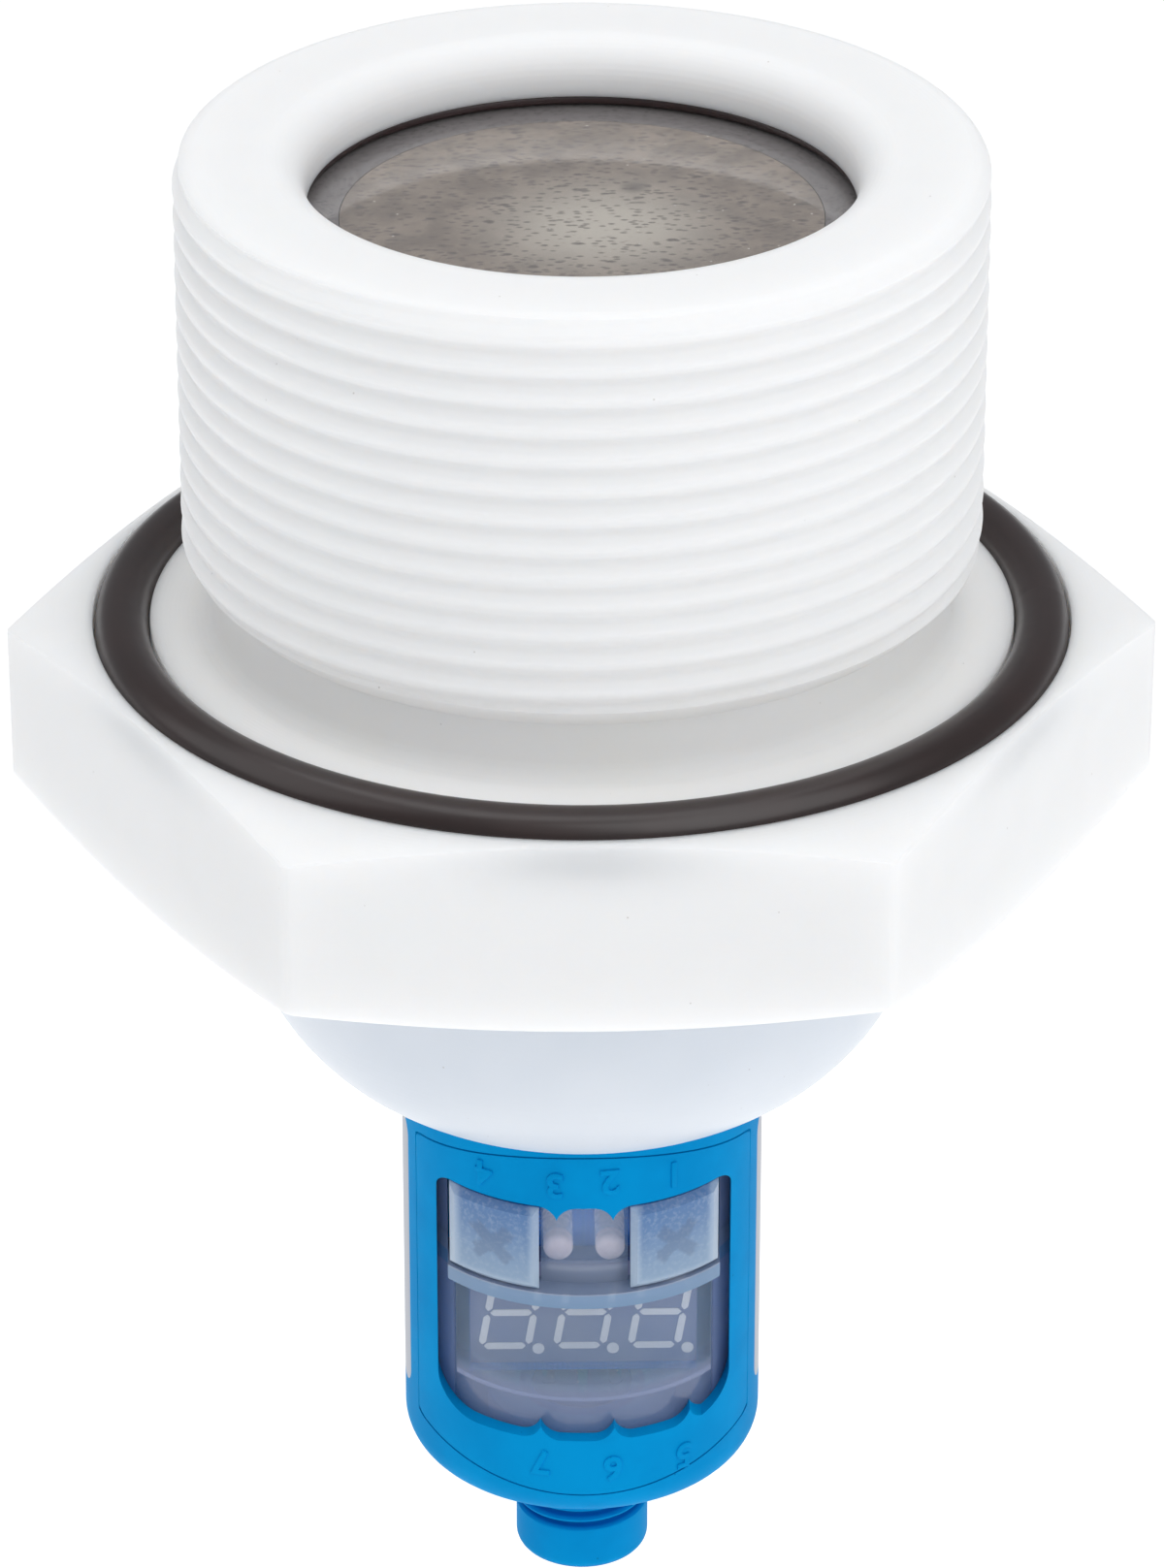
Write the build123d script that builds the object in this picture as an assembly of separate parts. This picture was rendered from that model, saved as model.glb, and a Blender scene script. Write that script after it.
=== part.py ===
"""Ultrasonic level sensor: threaded process body with hexagon, domed back and display head.

Millimetres. The origin is the centre of the hexagon's sealing face. +Z runs to the
sounding face, the display looks along -Y, and the plug points along -Z.
"""
import os
from math import cos, radians, sqrt, tan

from build123d import *

# Play between pieces
FIT = 0.05
SLIDE_GAP = 0.15
CURVE_GAP = 0.3

# Process thread and neck, a two inch pipe thread on a turned neck
THREAD_D = 59.614
THREAD_PITCH = 2.309
THREAD_DEPTH = 0.6403 * THREAD_PITCH
NECK_H = 37.1
NECK_CHAMFER = 1.3
UNDERCUT_H = 4.5
UNDERCUT_BELOW_ROOT = 0.7
UNDERCUT_ROUND = 1.5
NECK_WALL = 5.0

# Lip that holds the sounding face from the front
LIP_REACH = 4.7
LIP_H = 4.2
LIP_ROUND = 3.0

# Hexagon, as wide as the thread, the O-ring beside it and a rim outside that
HEX_RIM = 1.0
HEX_H = 15.2
HEX_CHAMFER_ANGLE = 15.0
HEX_CORNER_BLUNT = 0.2

# O-ring in the sealing face
O_RING_OFF_THREAD = 2.693
O_RING_CORD = 4.0
O_RING_SINK = 2.6
O_RING_GROOVE_SIDE = 0.15

# Dome that closes the body from behind
DOME_STEP = 1.4
DOME_WALL = 3.6
DOME_H = 23.6
DOME_ROUND = 17.0
DOME_SPIGOT = 7.9
DOME_SEAL_CORD = 2.0
DOME_SEAL_UP = 3.4
DOME_SEAL_SQUEEZE = 0.15

# Transducer stack, from the seal under the lip backwards
SEAL_T = 0.8
SEAL_BEHIND_LIP = 0.2
SEAL_PLAY = 0.6
FILM_T = 0.2
CUP_PLAY = 0.1
CUP_WALL = 3.0
DECOUPLING_WALL = 4.0
DECOUPLING_LAP = 2.9
MATCHING_T = 5.0
PIEZO_STEP = 2.2
PIEZO_T = 4.0
RESIN_BACKING = 8.0
CLAMP_RING_H = 5.0
CLAMP_RING_WALL = 4.4
SPANNER_SLOT_W = 3.0
SPANNER_SLOT_DEPTH = 2.0
SPANNER_SLOTS = 4
PROBE_D = 2.6
PROBE_H = 5.0
PROBE_X = 9.0
LEAD_D = 0.9
LEAD_X = 3.0
LEAD_LAP = 3.0

# Display head
HEAD_D = 28.0
HEAD_H = 34.4
HEAD_WALL = 2.0
HEAD_FOOT_ROUND = 3.2
HEAD_FLOOR = 2.6
HEAD_ROOF = 2.0
SPIGOT_STEP = 2.2
SPIGOT_WALL = 1.4
SPIGOT_H = 7.4
LOCK_RING_WALL = 2.4
LOCK_RING_H = 3.4
LOCK_RING_FLAT_CUT = 1.0
LOCK_RING_SEAT_ROOM = 0.2
HEAD_SEAL_CORD = 1.0
HEAD_SEAL_SINK = 0.75

# Faceplate, an arched plate let into the front of the head
PLATE_T = 1.2
PLATE_SEAM = 0.12
PLATE_EDGE_Y = -5.35
PLATE_TOP = 1.1
PLATE_TOP_DROP = 2.5
PLATE_UP = 2.85
PLATE_BOTTOM_RISE = 2.6
PLATE_CORNER = 1.0

# Window in the faceplate, with pointer teeth on its edges
WINDOW_SIDE = 2.65
WINDOW_TOP = 5.5
WINDOW_UP = 7.8
WINDOW_TOP_CORNER = 1.2
WINDOW_BOTTOM_CORNER = 3.0
TOOTH_W = 2.9
TOOTH_H = 1.15
TOOTH_FLANK_OUT = 0.38
TOOTH_FLANK_UP = 0.3
TOP_TEETH_X = (-2.16, 2.16)
BOTTOM_TEETH_X = (-3.4, 2.3, 8.2)

# Clear cover behind the window
COVER_T = 0.95
COVER_FLANGE = 1.3
PAD_INSET = 1.45
PAD_PROUD = 0.5
PAD_MARGIN = 3.2
BAR_H = 1.25
BAR_PROUD = 1.4
PANEL_T = 0.6

# Buttons
BUTTON_NEAR_X = 3.5
BUTTON_INSET = 1.0
BUTTON_H = 7.25
BUTTON_DOWN = 0.25
BUTTON_PROUD = 0.35
BUTTON_WALL = 1.3
BUTTON_BEVEL = 0.55
BUTTON_TRAVEL = 0.4
BUTTON_LEDGE = 0.7
BUTTON_LEDGE_T = 0.7
STEM_SPAN = 3.4
STEM_RIB = 1.0
STEM_OFF_MIDDLE = 0.375

# Display board and what it carries
BOARD_T = 1.0
BOARD_BEHIND_COVER = 6.4
DISPLAY_BOARD_INSET = 2.45
DISPLAY_BOARD_UP = 0.5
SWITCH_W = 3.2
SWITCH_T = 1.0
SWITCH_BUTTON_D = 1.9
SWITCH_BUTTON_T = 0.6
PRESS_REST = 0.12
LED_X = 2.0
LED_D = 2.3
LED_BEHIND_COVER = 1.0
LED_DOWN = 1.75
DISPLAY_ROOM = 0.1
DISPLAY_H = 9.2
DISPLAY_T = 2.3
DISPLAY_BEHIND_BAR = 0.3
DIGITS = 3
DIGIT_LEFT = 1.37
DIGIT_RIGHT = 1.02
DIGIT_GAP = 2.2
DIGIT_H = 6.1
DIGIT_SLANT = 9.5
SEGMENT_W = 0.55
SEGMENT_GAP = 0.18
SEGMENT_T = 0.1
POINT_D = 0.93
POINT_OFF_DIGIT = 0.31

# Main board and what it carries
MAIN_BOARD_T = 1.2
MAIN_BOARD_INSET = 0.8
MAIN_BOARD_FOOT = 1.0
MAIN_BOARD_RISE = 21.0
RAIL_REACH = 0.9
RAIL_T = 1.0
HEADER_W = 12.0
HEADER_H = 2.5
HEADER_ROOM = 1.45
TRANSFORMER = (9.0, 5.0, 8.0)
TRANSFORMER_ROOM = 0.2
CHIP = (7.0, 1.0, 7.0)
CHIP_ROOM = 3.85
CAPACITOR_D = 6.3
CAPACITOR_BEHIND = 2.23
CAPACITOR_ROOM = 1.25
CAPACITOR_CRIMP_UP = 1.4
CAPACITOR_CRIMP = 0.35

# Plug
PLUG_THREAD_D = 10.5
PLUG_SHANK_STEP = 0.45
PLUG_L = 10.4
PLUG_SHANK_L = 0.75
PLUG_COLLAR_L = 3.9
PLUG_GROOVE_DEPTH = 0.35
PLUG_GROOVE_L = 0.6
PLUG_END_ROUND = 1.1
PLUG_WALL = 1.25
PLUG_FLANGE_W = 1.8
PLUG_FLANGE_H = 1.8
PLUG_SEAL_CORD = 1.0
PLUG_SEAL_SINK = 0.75
CARRIER_RECESS = 7.4
CONTACT_D = 1.0
CONTACT_OFF_WALL = 1.35
CONTACTS = 4
CONTACT_SHORT = 1.4
CONTACT_TAIL = 4.0

# Label wrapped round the back of the head
LABEL_T = 0.12
LABEL_EDGE_ANGLE = 75.0
LABEL_TOP = 3.8
LABEL_UP = 6.4
LABEL_CORNER = 1.5

# Levels and radii that follow from the sizes above
THREAD_R = THREAD_D / 2
UNDERCUT_R = THREAD_R - THREAD_DEPTH - UNDERCUT_BELOW_ROOT
CAVITY_R = THREAD_R - NECK_WALL
LIP_R = CAVITY_R - LIP_REACH
LIP_Z = NECK_H - LIP_H
O_RING_INNER_R = THREAD_R + O_RING_OFF_THREAD
FLATS_R = O_RING_INNER_R + O_RING_CORD + HEX_RIM
CORNER_R = FLATS_R / cos(radians(30))
DOME_R = CAVITY_R + DOME_STEP
DOME_TOP = DOME_SPIGOT - HEX_H
HEAD_TOP = -HEX_H - DOME_H
HEAD_BOTTOM = HEAD_TOP - HEAD_H
HEAD_R = HEAD_D / 2
HEAD_BORE_R = HEAD_R - HEAD_WALL
HEAD_FLOOR_Z = HEAD_BOTTOM + HEAD_FLOOR
SPIGOT_R = HEAD_R - SPIGOT_STEP
SPIGOT_BORE_R = SPIGOT_R - SPIGOT_WALL
LOCK_RING_R = SPIGOT_R + LOCK_RING_WALL
PLATE_BACK_R = HEAD_R - PLATE_T
COVER_FRONT_R = PLATE_BACK_R - FIT
COVER_BACK_R = COVER_FRONT_R - COVER_T
WINDOW_Z = HEAD_TOP - WINDOW_TOP
WINDOW_FOOT = HEAD_BOTTOM + WINDOW_UP
WINDOW_HALF = HEAD_R - WINDOW_SIDE
BUTTON_TOP = WINDOW_Z - BUTTON_DOWN
BUTTON_FOOT = BUTTON_TOP - BUTTON_H
BUTTON_MID = (BUTTON_TOP + BUTTON_FOOT) / 2
BUTTON_R = HEAD_R + BUTTON_PROUD
BUTTON_FAR_X = WINDOW_HALF - BUTTON_INSET
STEM_X = (BUTTON_NEAR_X + BUTTON_FAR_X) / 2 + STEM_OFF_MIDDLE
BAR_TOP = BUTTON_FOOT - SLIDE_GAP
BAR_FOOT = BAR_TOP - BAR_H
SEAL_FOOT = LIP_Z - SEAL_T
STACK_TOP = SEAL_FOOT - FILM_T
MATCHING_FOOT = STACK_TOP - MATCHING_T
PIEZO_FOOT = MATCHING_FOOT - PIEZO_T
DECOUPLING_FOOT = PIEZO_FOOT - DECOUPLING_LAP
CUP_FOOT = DECOUPLING_FOOT - RESIN_BACKING
CUP_R = CAVITY_R - CUP_PLAY
CUP_BORE_R = CUP_R - CUP_WALL
MATCHING_R = CUP_BORE_R - DECOUPLING_WALL
PIEZO_R = MATCHING_R - PIEZO_STEP
DISPLAY_BOARD_Y = BOARD_BEHIND_COVER - COVER_BACK_R
SWITCH_FRONT_Y = DISPLAY_BOARD_Y - SWITCH_T - SWITCH_BUTTON_T
LED_TIP_Y = LED_BEHIND_COVER - COVER_BACK_R
DISPLAY_TOP = BAR_FOOT + DISPLAY_BEHIND_BAR
DISPLAY_FACE_Y = DISPLAY_BOARD_Y - DISPLAY_T
DISPLAY_HALF = sqrt((COVER_BACK_R - DISPLAY_ROOM) ** 2 - DISPLAY_FACE_Y**2)
DIGITS_W = 2 * DISPLAY_HALF - DIGIT_LEFT - DIGIT_RIGHT
DIGIT_W = (DIGITS_W + DIGIT_GAP) / DIGITS - DIGIT_GAP
MAIN_BOARD_Y = CONTACT_D / 2 + FIT
MAIN_BOARD_TOP = HEAD_TOP + MAIN_BOARD_RISE
MAIN_BOARD_BACK_Y = MAIN_BOARD_Y + MAIN_BOARD_T
MAIN_BOARD_HALF = SPIGOT_BORE_R - MAIN_BOARD_INSET
PLUG_END = HEAD_BOTTOM - PLUG_L
PLUG_R = PLUG_THREAD_D / 2
PLUG_SHANK_R = PLUG_R + PLUG_SHANK_STEP
PLUG_BORE_R = PLUG_R - PLUG_WALL
PLUG_TOP = HEAD_FLOOR_Z + PLUG_FLANGE_H
CONTACT_TOP = PLUG_TOP + CONTACT_TAIL
CAPACITOR_Z = CONTACT_TOP + CAPACITOR_ROOM + CAPACITOR_D / 2
LED_Z = BUTTON_MID - LED_DOWN


def turned(outline, rounds=()):
    """Revolve a closed outline of (radius, height) points. A round is (radius, height, size)."""
    face = Polygon(*outline, align=None)
    for radius, height, size in rounds:
        corner = face.vertices().sort_by_distance((radius, height, 0))[0]
        face = fillet(corner, size)
    return revolve(Plane.XZ * face, Axis.Z)


def ring(outer_r, inner_r, low, high):
    return turned([(inner_r, low), (outer_r, low), (outer_r, high), (inner_r, high)])


def disc(radius, low, high, at=(0, 0)):
    return Pos(at[0], at[1], low) * extrude(Circle(radius), high - low)


def block(x, y, z):
    """Box between (low, high) pairs along each axis."""
    face = Rectangle(x[1] - x[0], y[1] - y[0], align=Align.MIN)
    return Pos(x[0], y[0], z[0]) * extrude(face, z[1] - z[0])


def from_front(face, front_y, back_y):
    """Extrude a face drawn in X and Z between two depths."""
    return extrude(Plane.XZ.offset(-back_y) * face, back_y - front_y, dir=(0, -1, 0))


def cord_ring(centre_r, cord, z):
    """O-ring of round cord."""
    return revolve(Plane.XZ * (Pos(centre_r, z) * Circle(cord / 2)), Axis.Z)


def process_body():
    """Hexagon, threaded neck and front lip, turned from one bar and then milled to six flats."""
    corner_r = CORNER_R - HEX_CORNER_BLUNT
    drop = (corner_r - FLATS_R) * tan(radians(HEX_CHAMFER_ANGLE))
    groove_in = O_RING_INNER_R - O_RING_GROOVE_SIDE
    groove_out = O_RING_INNER_R + O_RING_CORD + O_RING_GROOVE_SIDE
    spigot_r = DOME_R + FIT
    outline = [
        (spigot_r, -HEX_H),
        (FLATS_R, -HEX_H),
        (corner_r, -HEX_H + drop),
        (corner_r, -drop),
        (FLATS_R, 0),
        (groove_out, 0),
        (groove_out, -O_RING_SINK),
        (groove_in, -O_RING_SINK),
        (groove_in, 0),
        (UNDERCUT_R, 0),
        (UNDERCUT_R, UNDERCUT_H),
        (THREAD_R, UNDERCUT_H + THREAD_R - UNDERCUT_R),
        (THREAD_R, NECK_H - NECK_CHAMFER),
        (THREAD_R - NECK_CHAMFER, NECK_H),
        (LIP_R, NECK_H),
        (LIP_R, LIP_Z),
        (CAVITY_R, LIP_Z),
        (CAVITY_R, DOME_TOP + FIT),
        (spigot_r, DOME_TOP + FIT),
    ]
    blank = turned(outline, [(UNDERCUT_R, 0, UNDERCUT_ROUND), (LIP_R, NECK_H, LIP_ROUND)])
    flats = Pos(0, 0, -HEX_H) * extrude(RegularPolygon(CORNER_R, 6), HEX_H + NECK_H)
    return blank & flats


def process_seal():
    cord_r = O_RING_CORD / 2
    return cord_ring(O_RING_INNER_R + cord_r, O_RING_CORD, cord_r - O_RING_SINK)


def dome_seal_z():
    return -HEX_H + DOME_SEAL_UP


def rear_dome():
    """Bowl that screws into the hexagon, spot-faced for the head and bored for its spigot."""
    inner_r = DOME_R - DOME_WALL
    floor = HEAD_TOP + DOME_WALL
    hole_r = SPIGOT_R + FIT
    flat_reach = HEAD_R - DOME_R + DOME_ROUND
    foot = HEAD_TOP + sqrt(DOME_ROUND**2 - flat_reach**2) - DOME_ROUND
    groove_r = DOME_R - DOME_SEAL_CORD + DOME_SEAL_SQUEEZE
    groove_half = DOME_SEAL_CORD / 2 + DOME_SEAL_SQUEEZE
    seal_z = dome_seal_z()
    seat_r = LOCK_RING_R + LOCK_RING_SEAT_ROOM
    outline = [
        (0, foot),
        (DOME_R, foot),
        (DOME_R, seal_z - groove_half),
        (groove_r, seal_z - groove_half),
        (groove_r, seal_z + groove_half),
        (DOME_R, seal_z + groove_half),
        (DOME_R, DOME_TOP),
        (inner_r, DOME_TOP),
        (inner_r, floor),
        (0, floor),
    ]
    bowl = turned(outline, [(DOME_R, foot, DOME_ROUND), (inner_r, floor, inner_r - seat_r)])
    return bowl - disc(DOME_R, foot - DOME_WALL, HEAD_TOP) - disc(hole_r, HEAD_TOP, floor)


def dome_seal():
    """Cord squeezed flat between the groove's floor and the hexagon's bore."""
    half = DOME_SEAL_CORD / 2
    z = dome_seal_z()
    outer = DOME_R
    inner = DOME_R - DOME_SEAL_CORD + DOME_SEAL_SQUEEZE + FIT
    outline = [(inner, z - half), (outer, z - half), (outer, z + half), (inner, z + half)]
    return turned(outline, [(radius, height, half / 2) for radius, height in outline])


def transducer_seal():
    """Flat seal between lip and film, with a rounded inner edge."""
    inner = LIP_R + SEAL_BEHIND_LIP
    outer = CAVITY_R - SEAL_PLAY
    bulge = SEAL_T / 2 - FIT
    rounds = [(inner, SEAL_FOOT, bulge), (inner, LIP_Z, bulge)]
    outline = [(inner, SEAL_FOOT), (outer, SEAL_FOOT), (outer, LIP_Z), (inner, LIP_Z)]
    return turned(outline, rounds)


def decoupling_ring():
    """Soft ring that carries the matching layer and the disc behind it in the cup."""
    outer = CUP_BORE_R - FIT
    outline = [
        (PIEZO_R + FIT, DECOUPLING_FOOT),
        (outer, DECOUPLING_FOOT),
        (outer, STACK_TOP),
        (MATCHING_R + FIT, STACK_TOP),
        (MATCHING_R + FIT, MATCHING_FOOT),
        (PIEZO_R + FIT, MATCHING_FOOT),
    ]
    return turned(outline)


def lead_places():
    lead_y = MAIN_BOARD_Y - LEAD_D / 2 - FIT
    return [(LEAD_X, lead_y), (-LEAD_X, lead_y)]


def damping_block():
    """Cast block that fills the cup behind the piezo disc, with lead holes and a probe pocket."""
    outer = CUP_BORE_R - FIT
    outline = [
        (0, CUP_FOOT),
        (outer, CUP_FOOT),
        (outer, DECOUPLING_FOOT),
        (PIEZO_R, DECOUPLING_FOOT),
        (PIEZO_R, PIEZO_FOOT),
        (0, PIEZO_FOOT),
    ]
    solid = turned(outline)
    for place in lead_places():
        solid -= disc(LEAD_D / 2 + FIT, CUP_FOOT, PIEZO_FOOT, place)
    return solid - disc(PROBE_D / 2 + FIT, CUP_FOOT, CUP_FOOT + PROBE_H, (PROBE_X, 0))


def temperature_probe():
    """Small capsule in its pocket, with a domed tip."""
    solid = disc(PROBE_D / 2, CUP_FOOT, CUP_FOOT + PROBE_H, (PROBE_X, 0))
    tip = solid.faces().sort_by(Axis.Z)[-1]
    return fillet(tip.edges(), PROBE_D / 3)


def clamp_ring():
    """Threaded ring with spanner slots that presses the cup against its seal."""
    foot = CUP_FOOT - CLAMP_RING_H
    half = SPANNER_SLOT_W / 2
    solid = ring(CUP_R, CUP_R - CLAMP_RING_WALL, foot, CUP_FOOT)
    slot = block((0, CAVITY_R), (-half, half), (foot, foot + SPANNER_SLOT_DEPTH))
    for place in PolarLocations(0, SPANNER_SLOTS):
        solid -= place * slot
    return solid


def transducer_leads():
    """Two leads from the piezo disc to their pads on the main board."""
    low = MAIN_BOARD_TOP - LEAD_LAP
    leads = [disc(LEAD_D / 2, low, PIEZO_FOOT, place) for place in lead_places()]
    return Compound(children=leads)


def plate_outline(grow):
    """Front view of the faceplate: straight sides between two arched edges."""
    half = sqrt(HEAD_R**2 - PLATE_EDGE_Y**2) + grow
    top = HEAD_TOP - PLATE_TOP + grow
    bottom = HEAD_BOTTOM + PLATE_UP - grow
    top_side = top - PLATE_TOP_DROP
    bottom_side = bottom + PLATE_BOTTOM_RISE
    edges = [
        ThreePointArc((-half, top_side), (0, top), (half, top_side)),
        Line((half, top_side), (half, bottom_side)),
        ThreePointArc((half, bottom_side), (0, bottom), (-half, bottom_side)),
        Line((-half, bottom_side), (-half, top_side)),
    ]
    face = make_face(Curve() + edges)
    return fillet(face.vertices(), PLATE_CORNER)


def tooth(x, edge_z, height):
    """Pointer on a window edge, with two hollow flanks that meet in a tip."""
    half = TOOTH_W / 2
    dip = (half * TOOTH_FLANK_OUT, height * TOOTH_FLANK_UP)
    edges = [
        ThreePointArc((x - half, edge_z), (x - dip[0], edge_z + dip[1]), (x, edge_z + height)),
        ThreePointArc((x, edge_z + height), (x + dip[0], edge_z + dip[1]), (x + half, edge_z)),
        Line((x + half, edge_z), (x - half, edge_z)),
    ]
    return make_face(Curve() + edges)


def window_outline():
    """Front view of the window, with its pointer teeth."""
    mid_z = (WINDOW_Z + WINDOW_FOOT) / 2
    face = Pos(0, mid_z) * Rectangle(2 * WINDOW_HALF, WINDOW_Z - WINDOW_FOOT)
    top = face.vertices().sort_by(Axis.Y)[2:]
    face = fillet(top, WINDOW_TOP_CORNER)
    foot = face.vertices().sort_by(Axis.Y)[:2]
    face = fillet(foot, WINDOW_BOTTOM_CORNER)
    for x in TOP_TEETH_X:
        face -= tooth(x, WINDOW_Z, -TOOTH_H)
    for x in BOTTOM_TEETH_X:
        face -= tooth(x, WINDOW_FOOT, TOOTH_H)
    return face


def head_blank():
    """Outer form of the display head, with its rounded foot."""
    outline = [(0, HEAD_BOTTOM), (HEAD_R, HEAD_BOTTOM), (HEAD_R, HEAD_TOP), (0, HEAD_TOP)]
    return turned(outline, [(HEAD_R, HEAD_BOTTOM, HEAD_FOOT_ROUND)])


def label_outline():
    """Side view of the label's field, which runs off behind the head."""
    edge_y = -HEAD_R * cos(radians(LABEL_EDGE_ANGLE))
    height = HEAD_H - LABEL_TOP - LABEL_UP
    face = Rectangle(HEAD_D - edge_y, height, align=(Align.MIN, Align.MAX))
    face = Pos(edge_y, HEAD_TOP - LABEL_TOP) * face
    return fillet(face.vertices().sort_by(Axis.X)[:2], LABEL_CORNER)


def label_field(outer_r, inner_r):
    """Sleeve between two radii, cut to the label's outline."""
    sleeve = ring(outer_r, inner_r, HEAD_BOTTOM, HEAD_TOP)
    field = extrude(Plane.YZ * label_outline(), HEAD_D, both=True)
    return sleeve & field


def board_rail(side):
    """Pair of ribs that hold one long edge of the main board."""
    reach = (side * (MAIN_BOARD_HALF - RAIL_REACH), side * HEAD_BORE_R)
    x = (min(reach), max(reach))
    y = (MAIN_BOARD_Y - FIT - RAIL_T, MAIN_BOARD_BACK_Y + FIT + RAIL_T)
    z = (HEAD_FLOOR_Z, HEAD_TOP - HEAD_ROOF)
    slot_reach = sorted((0, side * (MAIN_BOARD_HALF + FIT)))
    slot = block(slot_reach, (MAIN_BOARD_Y - FIT, MAIN_BOARD_BACK_Y + FIT), z)
    return block(x, y, z) - slot


def electronics_housing():
    """Moulded head: spigot, seal groove, cavity, faceplate pocket, label recess and board rails."""
    top = HEAD_TOP + SPIGOT_H
    solid = head_blank() + disc(SPIGOT_R, HEAD_TOP, top)
    solid -= disc(HEAD_BORE_R, HEAD_FLOOR_Z, HEAD_TOP - HEAD_ROOF)
    solid -= disc(SPIGOT_BORE_R, HEAD_TOP - HEAD_ROOF, top)
    seal_out = SPIGOT_R + HEAD_SEAL_CORD + 3 * FIT
    solid -= ring(seal_out, SPIGOT_R, HEAD_TOP - HEAD_SEAL_SINK, HEAD_TOP)
    pocket = from_front(plate_outline(PLATE_SEAM), -HEAD_D, PLATE_EDGE_Y)
    solid -= pocket - disc(PLATE_BACK_R - FIT, HEAD_BOTTOM, HEAD_TOP)
    reach = COVER_FLANGE + FIT
    solid -= block(
        (-HEAD_R, HEAD_R),
        (-HEAD_D, PLATE_EDGE_Y),
        (WINDOW_FOOT - reach, WINDOW_Z + reach),
    )
    solid -= label_field(HEAD_R + LABEL_T, HEAD_R - LABEL_T - FIT)
    bore = disc(HEAD_BORE_R + FIT, HEAD_BOTTOM, HEAD_TOP)
    for side in (1, -1):
        solid += board_rail(side) & bore
    solid -= disc(PLUG_SHANK_R + FIT, HEAD_BOTTOM, HEAD_FLOOR_Z)
    seal_out = PLUG_SHANK_R + PLUG_SEAL_CORD + 3 * FIT
    return solid - ring(seal_out, PLUG_SHANK_R, HEAD_FLOOR_Z - PLUG_SEAL_SINK, HEAD_FLOOR_Z)


def pressed_cord(shaft_r, cord, floor_z, height):
    """Seal cord pressed into a groove round a shaft, flattened at the open side."""
    inner_r = shaft_r + 2 * FIT
    outer_r = inner_r + cord
    top = floor_z + height
    outline = [(inner_r, floor_z), (outer_r, floor_z), (outer_r, top), (inner_r, top)]
    return turned(outline, [(radius, z, height / 3) for radius, z in outline])


def housing_seal():
    return pressed_cord(SPIGOT_R, HEAD_SEAL_CORD, HEAD_TOP - HEAD_SEAL_SINK, HEAD_SEAL_SINK)


def plug_seal():
    floor_z = HEAD_FLOOR_Z - PLUG_SEAL_SINK
    return pressed_cord(PLUG_SHANK_R, PLUG_SEAL_CORD, floor_z, PLUG_SEAL_SINK)


def lock_ring():
    """Nut on the head's spigot, seated on the dome's floor."""
    low = HEAD_TOP + DOME_WALL
    body = disc(LOCK_RING_R, low, low + LOCK_RING_H)
    hexagon = RegularPolygon(LOCK_RING_R - LOCK_RING_FLAT_CUT, 6, major_radius=False)
    flats = Pos(0, 0, low) * extrude(hexagon, LOCK_RING_H)
    return (body & flats) - disc(SPIGOT_R + FIT, low, low + LOCK_RING_H)


def face_bezel():
    """Faceplate that follows the head's round, with the window cut straight through."""
    plate = from_front(plate_outline(0), -HEAD_D, PLATE_EDGE_Y - PLATE_SEAM)
    plate = (head_blank() & plate) - disc(PLATE_BACK_R, HEAD_BOTTOM, HEAD_TOP)
    return plate - from_front(window_outline(), -HEAD_D, PLATE_EDGE_Y)


def shell(outer_r, inner_r, x, z, front_only=True):
    """Piece of a sleeve round the head's axis, between two X and two Z limits, on the display side."""
    sleeve = ring(outer_r, inner_r, z[0], z[1])
    back_y = PLATE_EDGE_Y - FIT if front_only else 0
    return sleeve & block(x, (-HEAD_D, back_y), z)


def button_span(side, grow):
    near = side * (BUTTON_NEAR_X - grow)
    far = side * (BUTTON_FAR_X + grow)
    return sorted((near, far))


def window_cover():
    """Clear cover: curved flange behind the faceplate, display pad, and bar below the buttons."""
    flange_z = (WINDOW_FOOT - COVER_FLANGE, WINDOW_Z + COVER_FLANGE)
    solid = shell(COVER_FRONT_R, COVER_BACK_R, (-HEAD_R, HEAD_R), flange_z)
    pad_z = (WINDOW_FOOT + PAD_MARGIN, BAR_FOOT)
    pad_x = WINDOW_HALF - PAD_INSET
    solid += shell(COVER_FRONT_R + PAD_PROUD, COVER_BACK_R, (-pad_x, pad_x), pad_z)
    bar_x = BUTTON_FAR_X + SLIDE_GAP
    solid += shell(COVER_FRONT_R + BAR_PROUD, COVER_BACK_R, (-bar_x, bar_x), (BAR_FOOT, BAR_TOP))
    panel_x = BUTTON_NEAR_X - SLIDE_GAP
    panel = from_front(
        Pos(0, (BAR_TOP + BUTTON_TOP) / 2) * Rectangle(2 * panel_x, BUTTON_TOP - BAR_TOP),
        -HEAD_D,
        0,
    )
    solid -= panel - disc(COVER_BACK_R + PANEL_T, HEAD_BOTTOM, HEAD_TOP)
    hole_z = (BUTTON_FOOT - SLIDE_GAP, BUTTON_TOP + SLIDE_GAP)
    for side in (1, -1):
        solid -= block(button_span(side, SLIDE_GAP), (-HEAD_D, 0), hole_z)
    return solid


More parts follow.
